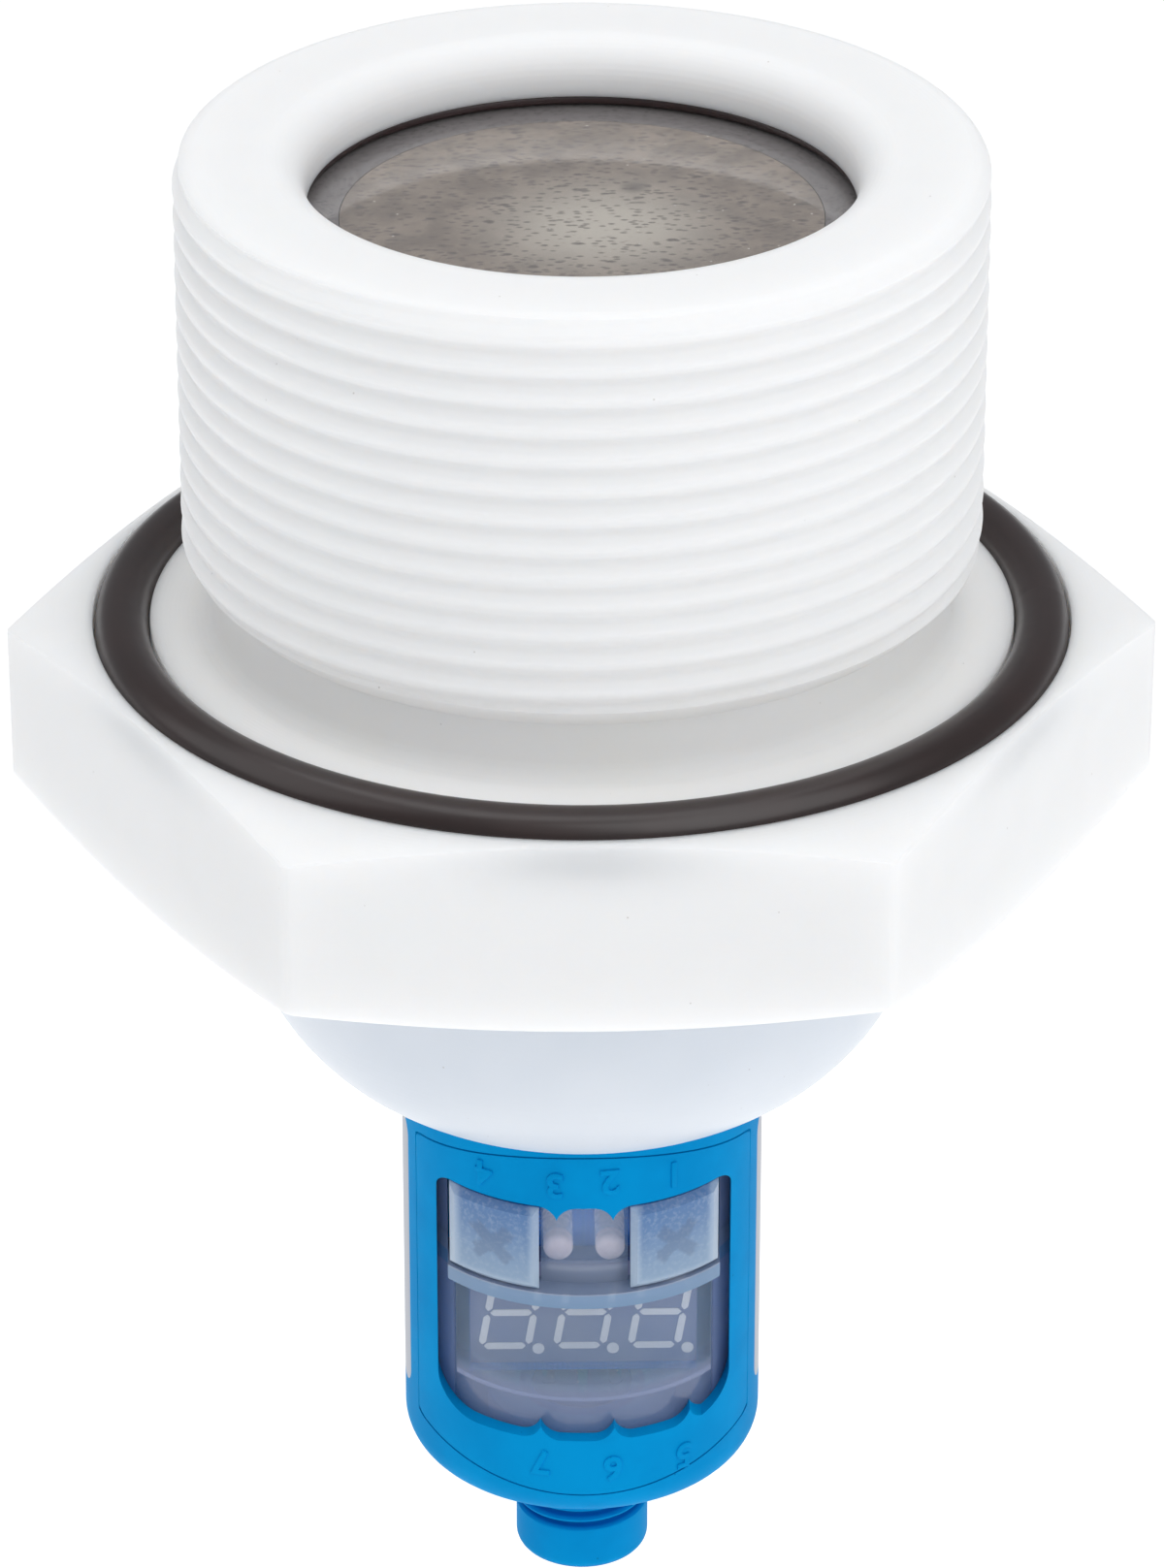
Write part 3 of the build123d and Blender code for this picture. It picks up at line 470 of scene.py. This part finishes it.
def foam(name, tone):
    """Closed-cell foam: small pits all over."""
    finish = Finish(name, Roughness=0.85)
    cells = finish.specks(0.5, 0.45)
    darker = [level * 0.78 for level in tone]
    finish.colour(finish.mix(cells, dye(*tone), dye(*darker)))
    finish.relief(cells, 0.03)
    finish.relief(finish.cloud(1.2), 0.02)
    film_gloss(finish)
    return finish


def film_row(radius):
    """Ring of the film's top, drawn slightly down in rays that fade towards the edge."""
    def at(angle):
        rays = sin(7 * angle) + sin(11 * angle + radius / 3)
        return radius, FILM_TOP - FILM_SAG * (1 + rays / 2) * (1 - (radius / FILM_R) ** 4)
    return at


def face_film():
    """Thin clear film that carries the gloss of the sounding face."""
    finish = Finish("clear_face_film", Alpha=0.1, IOR=1.6, Roughness=0.05)
    waves = finish.cloud(1.5, 2.0)
    finish.colour(finish.mix(waves, dye(160, 156, 152), dye(190, 186, 182)))
    finish.relief(waves, 0.01)
    return finish


def film_rows():
    """Underside, then the drawn top from the edge to a pinhole at the axis."""
    rows = [(FILM_EYE, FILM_TOP - FILM_T), (FILM_R, FILM_TOP - FILM_T)]
    for index in range(FILM_STEPS, 0, -1):
        rows.append(film_row(FILM_R * index / FILM_STEPS))
    return rows + [(FILM_EYE, FILM_TOP - FILM_SAG)]


film = lathe("face_film_drawn", film_rows(), hex_angles())
film.data.materials.append(face_film().material)
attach(film, "sensor")
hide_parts("face_film")
dress(seal_rubber("face_seal_rubber", (46, 26, 26), 0.42), "transducer_seal")
dress(speckled_composite(), "matching_layer")
dress(foam("grey_foam", (112, 107, 110)), "decoupling_ring")


# Transducer. A silvered piezo disc behind the matching layer, cast into an aluminium cup with
# resin. A temperature probe sits in the resin, and two insulated leads run back to the board.

def turned_metal(name, tone, gloss, pitch=0.22):
    """Lathe-turned metal with fine rings."""
    finish = Finish(name, Metallic=1.0, Anisotropic=0.4)
    marks = finish.rings(pitch)
    darker = [level * 0.86 for level in tone]
    finish.colour(finish.mix(finish.cloud(1.8, 4.0), dye(*darker), dye(*tone)))
    finish.roughness(marks, gloss - 0.05, gloss + 0.1)
    finish.relief(marks, 0.004)
    return finish


def cast_resin(name, tone):
    """Poured resin with small bubbles and a slow swirl."""
    finish = Finish(name, Roughness=0.3, IOR=1.54)
    swirl = finish.cloud(4.0, 5.0)
    darker = [level * 0.75 for level in tone]
    finish.colour(finish.mix(swirl, dye(*darker), dye(*tone)))
    finish.relief(finish.specks(1.4, 0.16), 0.05)
    finish.roughness(swirl, 0.22, 0.42)
    return finish


def wire_cover(name, tone):
    """Extruded insulation with faint draw lines."""
    finish = Finish(name, IOR=1.5)
    lines = finish.cloud(0.5, 3.0, finish.stretched(1.0, 1.0, 0.05))
    darker = [level * 0.82 for level in tone]
    finish.colour(finish.mix(lines, dye(*darker), dye(*tone)))
    finish.roughness(lines, 0.32, 0.46)
    finish.relief(lines, 0.01)
    return finish


dress(turned_metal("cup_aluminium", (205, 206, 208), 0.32), "transducer_cup", "clamp_ring")
dress(turned_metal("silvered_ceramic", (222, 220, 212), 0.4, 0.6), "piezo_disc")
dress(cast_resin("cast_resin", (64, 60, 58)), "damping_block", "temperature_probe")
dress(wire_cover("lead_red", (176, 34, 30)), "transducer_leads")


# Rear dome. A fluoropolymer bowl that screws into the hexagon from behind on its own O-ring.
# It is turned finer than the body, so it looks smoother.

# Its white is drawn greyer and bluer than the bar's: painted shade, as it hangs under the hexagon.
dress(white_fluoropolymer("white_dome_painted_shade", (226, 231, 238), (220, 226, 234), 0.3, 0.45, 2.5), "rear_dome")
dress(seal_rubber("inner_rubber", (40, 38, 38), 0.42), "dome_seal", "housing_seal", "plug_seal")


# Display head. A blue moulded shell with a let-in faceplate of the same plastic. A spigot
# goes up into the dome, where a nylon ring holds it.

def moulded_blue(name, shade=None):
    """Dyed polyamide from a spark-eroded mould, darker where the shade function says 1."""
    finish = Finish(name, IOR=1.4, Specular_IOR_Level=0.03)
    flow = finish.step(finish.cloud(6.0, 3.0), 0.3, 0.7)
    tone = finish.mix(flow, dye(0, 142, 208), dye(0, 150, 216))
    dark_dust = finish.maths("MULTIPLY", finish.specks(2.7, 0.045), 0.5)
    tone = finish.mix(dark_dust, tone, dye(0, 92, 150))
    pale_dust = finish.maths("MULTIPLY", finish.specks(4.3, 0.03), 0.5)
    tone = finish.mix(pale_dust, tone, dye(60, 176, 230))
    if shade:
        tone = finish.mix(shade(finish), tone, dye(0, 106, 186))
    finish.colour(tone)
    grain = finish.cloud(0.14, 2.0)
    finish.roughness(grain, 0.42, 0.58)
    finish.relief(grain, 0.004)
    return finish


def nylon_ring():
    """Machined natural nylon."""
    finish = Finish("nut_nylon", IOR=1.53, Subsurface_Weight=0.3, Subsurface_Scale=1.0 * MM)
    finish.colour(finish.mix(finish.cloud(2.0), dye(226, 222, 208), dye(238, 235, 224)))
    finish.roughness(finish.cloud(0.6), 0.34, 0.5)
    finish.relief(finish.rings(0.3), 0.006)
    return finish


head_blue = moulded_blue("moulded_blue")
dress(head_blue, "electronics_housing", "face_bezel")
dress(nylon_ring(), "lock_ring")


# Legends of the faceplate. Plain raised numbers, moulded with the faceplate and read with
# the sounding face down, so they stand on their heads here.

NUMBER_TALL = 2.1
NUMBER_TALL_SHARE = 0.7
NUMBER_PROUD = 0.14
NUMBER_SUNK = 0.2
NUMBER_EDGE = 0.03
NUMBER_BOLD = 0.05
UPPER_NUMBERS = ((6.8, "1"), (1.9, "2"), (-2.3, "3"), (-7.7, "4"))
LOWER_NUMBERS = ((7.7, "5"), (2.2, "6"), (-3.4, "7"))
HEAD_R = -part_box("face_bezel")[0].y / MM
UPPER_ROW = top_of("housing_seal") - 3.55
LOWER_ROW = top_of("housing_seal") - 29.0
WELD = 0.001


def number_mesh(text):
    """Flat extruded numeral, in millimetres, centred on its own middle."""
    letters = bpy.data.curves.new("numeral", "FONT")
    letters.body = text
    letters.size = NUMBER_TALL / NUMBER_TALL_SHARE
    letters.align_x = "CENTER"
    letters.align_y = "CENTER"
    letters.extrude = (NUMBER_PROUD + NUMBER_SUNK) / 2 - NUMBER_EDGE
    letters.offset = NUMBER_BOLD
    letters.bevel_depth = NUMBER_EDGE
    letters.bevel_resolution = 1
    holder = bpy.data.objects.new("numeral", letters)
    bpy.context.scene.collection.objects.link(holder)
    bpy.context.view_layer.update()
    mesh = bpy.data.meshes.new_from_object(holder)
    bpy.data.objects.remove(holder)
    bpy.data.curves.remove(letters)
    return mesh


def wrap_number(form, text, centre_x, centre_z):
    """Turns a numeral upside down and bends it round the head into the form."""
    mesh = number_mesh(text)
    middle_v = sum(vertex.co.y for vertex in mesh.vertices) / len(mesh.vertices)
    for vertex in mesh.vertices:
        turn = (centre_x - vertex.co.x) / HEAD_R
        out = HEAD_R + (NUMBER_PROUD - NUMBER_SUNK) / 2 + vertex.co.z
        up = centre_z - (vertex.co.y - middle_v)
        vertex.co = (out * sin(turn) * MM, -out * cos(turn) * MM, up * MM)
    form.from_mesh(mesh)
    bpy.data.meshes.remove(mesh)


def arc_along(x):
    """Length along the head's round to the point that lies x off its middle plane."""
    return HEAD_R * (pi / 2 - acos(x / HEAD_R))


numbers = bmesh.new()
for row, height in ((UPPER_NUMBERS, UPPER_ROW), (LOWER_NUMBERS, LOWER_ROW)):
    for x, text in row:
        wrap_number(numbers, text, arc_along(x), height)
bmesh.ops.remove_doubles(numbers, verts=numbers.verts, dist=WELD * MM)
number_plate = bpy.data.meshes.new("faceplate_numbers")
numbers.to_mesh(number_plate)
numbers.free()
legends = placed("faceplate_numbers", number_plate)
legends.data.materials.append(head_blue.material)
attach(legends, "sensor")


# Window cover. One clear polycarbonate moulding behind the faceplate: curved flange, display
# pad, bar under the buttons and a sunk panel between them.

BAR_DOWN = 0.7
BAR_FOOT = foot_of("button_1") - BAR_DOWN
BAR_TALL = 1.25
BAR_RIM = 0.2
BAR_MILK = 2.4
BAR_MILK_FADE = 1.0
SILL_UP = 5.6
SILL_TOP = foot_of("window_cover") + SILL_UP
SILL_FADE = 0.6
PAD_SIDE = 10.0
PAD_FADE = 0.2


def clear_cover():
    """Clear plastic with mould haze, milkier where it is thick: bar, side walls and sill, and painted
    paler still on the side walls.
    """
    finish = Finish("window_clear", IOR=1.58, Coat_Weight=0.6, Coat_Roughness=0.08)
    height = finish.axis("Z")
    over = finish.step(height, BAR_FOOT - 0.1, BAR_FOOT)
    under = finish.step(height, BAR_FOOT + BAR_MILK + BAR_MILK_FADE, BAR_FOOT + BAR_MILK)
    bar = finish.maths("MULTIPLY", over, under)
    across = finish.maths("ABSOLUTE", finish.axis("X"))
    side = finish.step(across, PAD_SIDE - PAD_FADE, PAD_SIDE + PAD_FADE)
    sill = finish.step(height, SILL_TOP + SILL_FADE, SILL_TOP - SILL_FADE)
    # Painted light: the side walls are drawn paler and more opaque than their thickness gives, to lift
    # the shade that falls on them.
    side_milk_and_painted_light = finish.maths("MULTIPLY", side, 0.8)
    sill_milk = finish.maths("MULTIPLY", sill, 0.4)
    thick = finish.maths("MAXIMUM", finish.maths("MAXIMUM", side_milk_and_painted_light, sill_milk), bar)
    haze = finish.step(finish.cloud(5.0, 3.0), 0.3, 0.7)
    clear = finish.mix(haze, dye(150, 182, 222), dye(176, 200, 228))
    rim = finish.step(height, BAR_FOOT + BAR_TALL, BAR_FOOT + BAR_TALL - BAR_RIM)
    ledge = finish.mix(rim, dye(140, 154, 180), dye(112, 148, 186))
    milky = finish.mix(bar, dye(146, 162, 200), ledge)
    finish.colour(finish.mix(finish.step(thick, 0.1, 0.4), clear, milky))
    finish.drive("Alpha", thick, 0.2, 0.84)
    finish.roughness(finish.cloud(0.5), 0.12, 0.24)
    finish.relief(finish.cloud(1.4, 2.0), 0.004)
    return finish


dress(clear_cover(), "window_cover")


# Buttons. Two frosted clear caps with bevelled edges, a ledge behind the cover and a cross
# stem over a switch. The cross shows through the frosted front as a blurred mark.

BUTTON_MID_X = (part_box("button_1")[0].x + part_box("button_1")[1].x) / 2 / MM
BUTTON_MID_Z = (top_of("button_1") + foot_of("button_1")) / 2
BUTTON_HALF = (3.42, 3.62)
BUTTON_SHADE_REACH = 3.4
BEVEL_REACH = 1.05
CROSS_X = 7.1
CROSS_BLUR = 0.9
ARM_HALF = (0.5, 0.95)
ARM_REACH = (2.3, 3.0)


def cross_mark(finish, centre_x, centre_z):
    """Blurred shade of the cross stem, 1 on its arms."""
    blur = finish.maths("MULTIPLY", finish.maths("SUBTRACT", finish.cloud(0.9, 3.0), 0.5), CROSS_BLUR)
    off_x = finish.maths("ADD", finish.maths("SUBTRACT", finish.axis("X"), centre_x), blur)
    off_z = finish.maths("SUBTRACT", finish.maths("SUBTRACT", finish.axis("Z"), centre_z), blur)
    rising = finish.maths("ABSOLUTE", finish.maths("ADD", off_x, off_z))
    falling = finish.maths("ABSOLUTE", finish.maths("SUBTRACT", off_x, off_z))
    arms = []
    for across, along in ((rising, falling), (falling, rising)):
        thin = finish.step(across, ARM_HALF[1], ARM_HALF[0])
        short = finish.step(along, ARM_REACH[1], ARM_REACH[0])
        arms.append(finish.maths("MULTIPLY", thin, short))
    return finish.maths("MAXIMUM", *arms)


def bevel_highlight(finish, centre_x, centre_z):
    """Mask of a painted highlight: 1 along the bevels at the cap's sides and foot, 0 in its middle and at
    its top.
    """
    off_x = finish.maths("ABSOLUTE", finish.maths("SUBTRACT", finish.axis("X"), centre_x))
    sides = finish.step(off_x, BUTTON_HALF[0] - BEVEL_REACH, BUTTON_HALF[0] - BEVEL_REACH / 3)
    down = finish.maths("SUBTRACT", centre_z, finish.axis("Z"))
    foot = finish.step(down, BUTTON_HALF[1] - BEVEL_REACH, BUTTON_HALF[1] - BEVEL_REACH / 3)
    return finish.maths("MAXIMUM", sides, foot)


def frosted_button(name, side):
    """Frosted clear cap with frost grains, drawn deeper blue towards its top as painted shade, with
    painted highlights on its bevels.
    """
    finish = Finish(name, Alpha=0.8, IOR=1.5, Coat_Weight=0.4)
    height = finish.axis("Z")
    # Painted shade: deeper blue towards the cap's top, under the window's rim.
    rise = finish.step(height, BUTTON_MID_Z - BUTTON_SHADE_REACH, BUTTON_MID_Z + BUTTON_SHADE_REACH)
    frost = finish.cloud(0.35, 4.0)
    tone = finish.mix(rise, dye(150, 178, 208), dye(84, 130, 186))
    grains = finish.maths("MULTIPLY", finish.step(frost, 0.45, 0.7), 0.3)
    tone = finish.mix(grains, tone, dye(180, 200, 222))
    mark = finish.maths("MULTIPLY", cross_mark(finish, side * CROSS_X, BUTTON_MID_Z), 0.4)
    tone = finish.mix(mark, tone, dye(86, 108, 142))
    # Painted highlight: the bevels at the sides and foot are drawn pale.
    bevel = bevel_highlight(finish, side * BUTTON_MID_X, BUTTON_MID_Z)
    finish.colour(finish.mix(finish.maths("MULTIPLY", bevel, 0.55), tone, dye(206, 224, 242)))
    finish.roughness(frost, 0.28, 0.5)
    finish.relief(frost, 0.01)
    return finish


dress(frosted_button("button_frost_1", 1), "button_1")
dress(frosted_button("button_frost_2", -1), "button_2")


# Display and its board. A three digit module, two lamps and two switches on a blue circuit
# board that stands behind the window.

def moulded_black(name, tone=(38, 38, 42)):
    """Filled black moulding with a fine spark-eroded grain."""
    finish = Finish(name, IOR=1.5)
    finish.colour(finish.mix(finish.cloud(2.0), dye(*tone), dye(*[level * 1.25 for level in tone])))
    grain = finish.cloud(0.12, 2.0)
    finish.roughness(grain, 0.4, 0.6)
    finish.relief(grain, 0.006)
    return finish


TRACK_W = 0.32
TRACK_LENGTH = 3.1
TRACK_PITCH = 1.3


def circuit_board(name, resist, track):
    """Coloured resist over glass weave, with paler tracks and round pads."""
    finish = Finish(name, IOR=1.55, Coat_Weight=0.3)
    weave = finish.maths("MULTIPLY", finish.bands(0.4, "X", 0.0), finish.bands(0.4, "Z", 0.0))
    layout = {
        "Vector": finish.place,
        "Scale": 1.0,
        "Mortar Size": TRACK_W / 2 * MM,
        "Brick Width": TRACK_LENGTH * MM,
        "Row Height": TRACK_PITCH * MM,
    }
    tracks = finish.node("ShaderNodeTexBrick", layout)
    lighter = [level * 1.12 + 4 for level in resist]
    tone = finish.mix(weave, dye(*resist), dye(*lighter))
    tone = finish.mix(finish.maths("MULTIPLY", tracks.outputs["Fac"], 0.6), tone, dye(*track))
    finish.colour(finish.mix(finish.specks(2.1, 0.18), tone, dye(196, 180, 120)))
    finish.roughness(weave, 0.3, 0.42)
    finish.relief(tracks.outputs["Fac"], 0.03)
    return finish


def display_case():
    """Satin violet-grey case of the display."""
    finish = Finish("display_case", IOR=1.5)
    finish.colour(finish.mix(finish.cloud(3.0, 3.0), dye(96, 100, 140), dye(106, 110, 150)))
    finish.roughness(finish.cloud(0.4), 0.35, 0.5)
    finish.relief(finish.cloud(0.2), 0.004)
    return finish


def pale_segment():
    """Diffusing resin of the segments, unlit, with a faint painted glow for the light that reaches them
    through the cover.
    """
    finish = Finish("segment_pale", IOR=1.5, Emission_Strength=0.15, Emission_Color=dye(214, 214, 220))
    finish.colour(finish.mix(finish.cloud(0.8, 3.0), dye(205, 205, 208), dye(226, 226, 226)))
    finish.roughness(finish.cloud(0.3), 0.35, 0.5)
    return finish


LAMP_FRONT_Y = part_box("led_1")[0].y / MM
LAMP_CAP = (1.1, 1.6)


def lamp_lens():
    """Diffused lamp resin: faintly pink at its front end, pale blue along its body."""
    glow = dye(200, 196, 206)
    # The lamps are off: their faint glow is painted light.
    finish = Finish("lamp_lens", IOR=1.52, Coat_Weight=0.4, Emission_Strength=0.3, Emission_Color=glow)
    front = finish.step(finish.axis("Y"), LAMP_FRONT_Y + LAMP_CAP[1], LAMP_FRONT_Y + LAMP_CAP[0])
    pink = finish.mix(finish.cloud(0.7, 3.0), dye(236, 208, 210), dye(250, 228, 228))
    finish.colour(finish.mix(front, dye(120, 168, 214), pink))
    finish.roughness(finish.cloud(0.4), 0.2, 0.35)
    finish.relief(finish.cloud(0.5), 0.008)
    return finish


dress(display_case(), "display_module")
dress(pale_segment(), "display_segments")
dress(lamp_lens(), "led_1", "led_2")
dress(circuit_board("board_blue", (0, 126, 232), (24, 140, 236)), "display_board")
dress(moulded_black("moulded_black"), "switch_1", "switch_2", "board_header", "microcontroller")


# Main board. It stands upright in two rails and carries the pulse transformer and the
# storage capacitor, with a controller chip between them.

def tinned_can():
    """Drawn and tinned can."""
    finish = Finish("tinned_metal", Metallic=1.0)
    finish.colour(finish.mix(finish.cloud(2.4, 4.0), dye(176, 178, 182), dye(206, 208, 210)))
    finish.roughness(finish.cloud(0.8, 3.0), 0.24, 0.42)
    finish.relief(finish.bands(0.5, "Y"), 0.004)
    return finish


def wound_core():
    """Black ferrite with a lacquered winding."""
    finish = moulded_black("wound_ferrite", (46, 42, 40))
    finish.relief(finish.bands(0.25, "X", 0.1), 0.05)
    return finish


dress(circuit_board("board_green", (16, 86, 46), (60, 140, 84)), "main_board")
dress(tinned_can(), "storage_capacitor")
dress(wound_core(), "pulse_transformer")


# Plug. A blue moulding with a flange inside the head, a shank through its floor and a fine
# thread of 1 mm pitch above a plain rounded collar. Four gilt pins stand in a black insulator.

PLUG_FOOT = foot_of("plug_body")
PLUG_TOP = top_of("plug_body")
HEAD_FOOT = foot_of("electronics_housing")
PLUG_THREAD_R = 5.25
PLUG_PITCH = 1.0
PLUG_DEPTH_SHARE = 0.95
PLUG_CREST_UP = 0.25
PLUG_RUN_OUT = 0.3
SHANK_R = 5.7
SHANK_CONE = SHANK_R - PLUG_THREAD_R
SHANK_FOOT = HEAD_FOOT - 0.75
COLLAR_TOP = PLUG_FOOT + 3.9
COLLAR_EASE = 0.15
FLANGE_R = 7.5
FLANGE_FOOT = PLUG_TOP - 1.8
BORE_R = 4.0
BORE_CHAMFER = 0.3
END_ROUND = 1.1
ROOT_SHADE = (0.12, 0.4)
PLUG_STEPS = 128
PLUG_ROWS_PER_PITCH = 14


def plug_row(height):
    """Row of the threaded nose between the shank's cone and the collar."""
    def at(angle):
        along = height - COLLAR_TOP - PLUG_CREST_UP - PLUG_PITCH * angle / (2 * pi)
        fade = min(max((height - COLLAR_TOP) / PLUG_RUN_OUT, 0), 1)
        radius = PLUG_THREAD_R - thread_depth(along, PLUG_PITCH) * PLUG_DEPTH_SHARE * fade
        up_cone = height - (SHANK_FOOT - SHANK_CONE)
        if up_cone >= 0:
            radius = min(PLUG_THREAD_R + up_cone, SHANK_R)
        return radius, height
    return at


def plug_rows():
    """The plug's outline from its bore over collar, thread and shank to the flange."""
    rows = [(BORE_R, PLUG_TOP), (BORE_R, PLUG_FOOT + BORE_CHAMFER), (BORE_R + BORE_CHAMFER, PLUG_FOOT)]
    nose = (PLUG_THREAD_R - END_ROUND, PLUG_FOOT + END_ROUND)
    rows += arc(nose, END_ROUND, 270, 360, FILLET_STEPS)
    rows.append((PLUG_THREAD_R, COLLAR_TOP - COLLAR_EASE))
    steps = round((SHANK_FOOT - COLLAR_TOP) / PLUG_PITCH * PLUG_ROWS_PER_PITCH)
    for index in range(steps + 1):
        rows.append(plug_row(COLLAR_TOP + (SHANK_FOOT - COLLAR_TOP) * index / steps))
    rows += [(SHANK_R, FLANGE_FOOT), (FLANGE_R, FLANGE_FOOT), (FLANGE_R, PLUG_TOP)]
    return rows


def groove_shade(finish):
    """1 in the roots of the plug's thread, 0 on its crests."""
    across = finish.maths("POWER", finish.axis("X"), 2.0)
    along = finish.maths("POWER", finish.axis("Y"), 2.0)
    radius = finish.maths("SQRT", finish.maths("ADD", across, along))
    return finish.step(radius, PLUG_THREAD_R - ROOT_SHADE[0], PLUG_THREAD_R - ROOT_SHADE[1])


def gilt_pin():
    """Turned brass with a flash of gold."""
    finish = Finish("contact_gold", Metallic=1.0)
    finish.colour(finish.mix(finish.cloud(0.6, 3.0), dye(206, 164, 82), dye(228, 188, 108)))
    finish.roughness(finish.cloud(0.3), 0.18, 0.32)
    finish.relief(finish.bands(0.12), 0.001)
    return finish


plug = lathe("plug_threaded", plug_rows(), [2 * pi * index / PLUG_STEPS for index in range(PLUG_STEPS)])
plug.data.materials.append(moulded_blue("plug_blue", groove_shade).material)
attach(plug, "sensor")
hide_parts("plug_body")
dress(moulded_black("plug_insulator", (30, 30, 32)), "contact_carrier")
dress(gilt_pin(), "contact_pins")


# Label. A thin silvered polyester film round the back of the head, left bare.

def silvered_film():
    """Satin silver print on polyester."""
    finish = Finish("label_silver", Metallic=0.75)
    brushed = finish.cloud(0.4, 4.0, finish.stretched(1.0, 1.0, 0.08))
    finish.colour(finish.mix(brushed, dye(150, 154, 164), dye(182, 186, 194)))
    finish.roughness(brushed, 0.3, 0.45)
    finish.relief(brushed, 0.003)
    return finish


dress(silvered_film(), "type_label")


# Studio. A plain pale floor, large soft lamps and a long lens, as for a catalogue picture.

FLOOR_DROP = 55.0
FLOOR_HALF = 3000.0
VIEW_AZIMUTH = -0.9
VIEW_ELEVATION = 28.11
VIEW_DISTANCE = 549.08
VIEW_TARGET = (0.0, 0.0, -15.07)
LENS = 165.9
SENSOR = 36.0
NEAREST_SEEN = 10.0
FARTHEST_SEEN = 20000.0


def studio_floor():
    """Matt pale sheet well below the part."""
    height = (foot_of("contact_carrier") - FLOOR_DROP) * MM
    half = FLOOR_HALF * MM
    mesh = bpy.data.meshes.new("studio_floor")
    corners = [(-half, -half, height), (half, -half, height), (half, half, height), (-half, half, height)]
    mesh.from_pydata(corners, [], [(0, 1, 2, 3)])
    floor = bpy.data.objects.new("studio_floor", mesh)
    bpy.context.scene.collection.objects.link(floor)
    white = (1.0, 1.0, 1.0, 1.0)
    finish = Finish("pale_floor", Roughness=0.9, Emission_Strength=0.34, Emission_Color=white)
    finish.colour(finish.mix(finish.cloud(40.0), dye(250, 250, 250), dye(253, 253, 253)))
    mesh.materials.append(finish.material)


def towards(azimuth, elevation):
    """Direction from the part to a viewer or a lamp."""
    turn, rise = radians(azimuth), radians(elevation)
    return Vector((sin(turn) * cos(rise), -cos(turn) * cos(rise), sin(rise)))


def soft_lamp(name, azimuth, elevation, distance, size, watts):
    """Square soft box that faces the part, with its distance and size in metres."""
    light = bpy.data.lights.new(name, "AREA")
    light.shape = "SQUARE"
    light.size = size
    light.energy = watts
    lamp = bpy.data.objects.new(name, light)
    back = towards(azimuth, elevation)
    lamp.location = back * distance
    lamp.rotation_euler = back.to_track_quat("Z", "Y").to_euler()
    bpy.context.scene.collection.objects.link(lamp)


def studio_air():
    """Faint even light from all round."""
    world = bpy.data.worlds.new("studio_air")
    world.use_nodes = True
    sky = world.node_tree.nodes["Background"].inputs
    sky["Color"].default_value = (0.9, 0.93, 0.97, 1.0)
    sky["Strength"].default_value = 0.35
    bpy.context.scene.world = world


def studio_camera():
    """Long lens from a little above."""
    camera = bpy.data.objects.new("camera", bpy.data.cameras.new("camera"))
    camera.data.lens = LENS
    camera.data.sensor_width = SENSOR
    back = towards(VIEW_AZIMUTH, VIEW_ELEVATION)
    camera.location = (Vector(VIEW_TARGET) + back * VIEW_DISTANCE) * MM
    camera.rotation_euler = back.to_track_quat("Z", "Y").to_euler()
    camera.data.clip_start = NEAREST_SEEN * MM
    camera.data.clip_end = FARTHEST_SEEN * MM
    bpy.context.scene.collection.objects.link(camera)
    bpy.context.scene.camera = camera


studio_floor()
soft_lamp("key", 42, 44, 0.9, 0.9, 3.4)
soft_lamp("fill", -88, 36, 1.0, 0.9, 2.1)
soft_lamp("front", 10, 45, 1.0, 0.9, 0.7)
soft_lamp("overhead", 190, 80, 0.9, 0.8, 3.0)
studio_air()
studio_camera()
bpy.context.scene.view_settings.view_transform = "Standard"
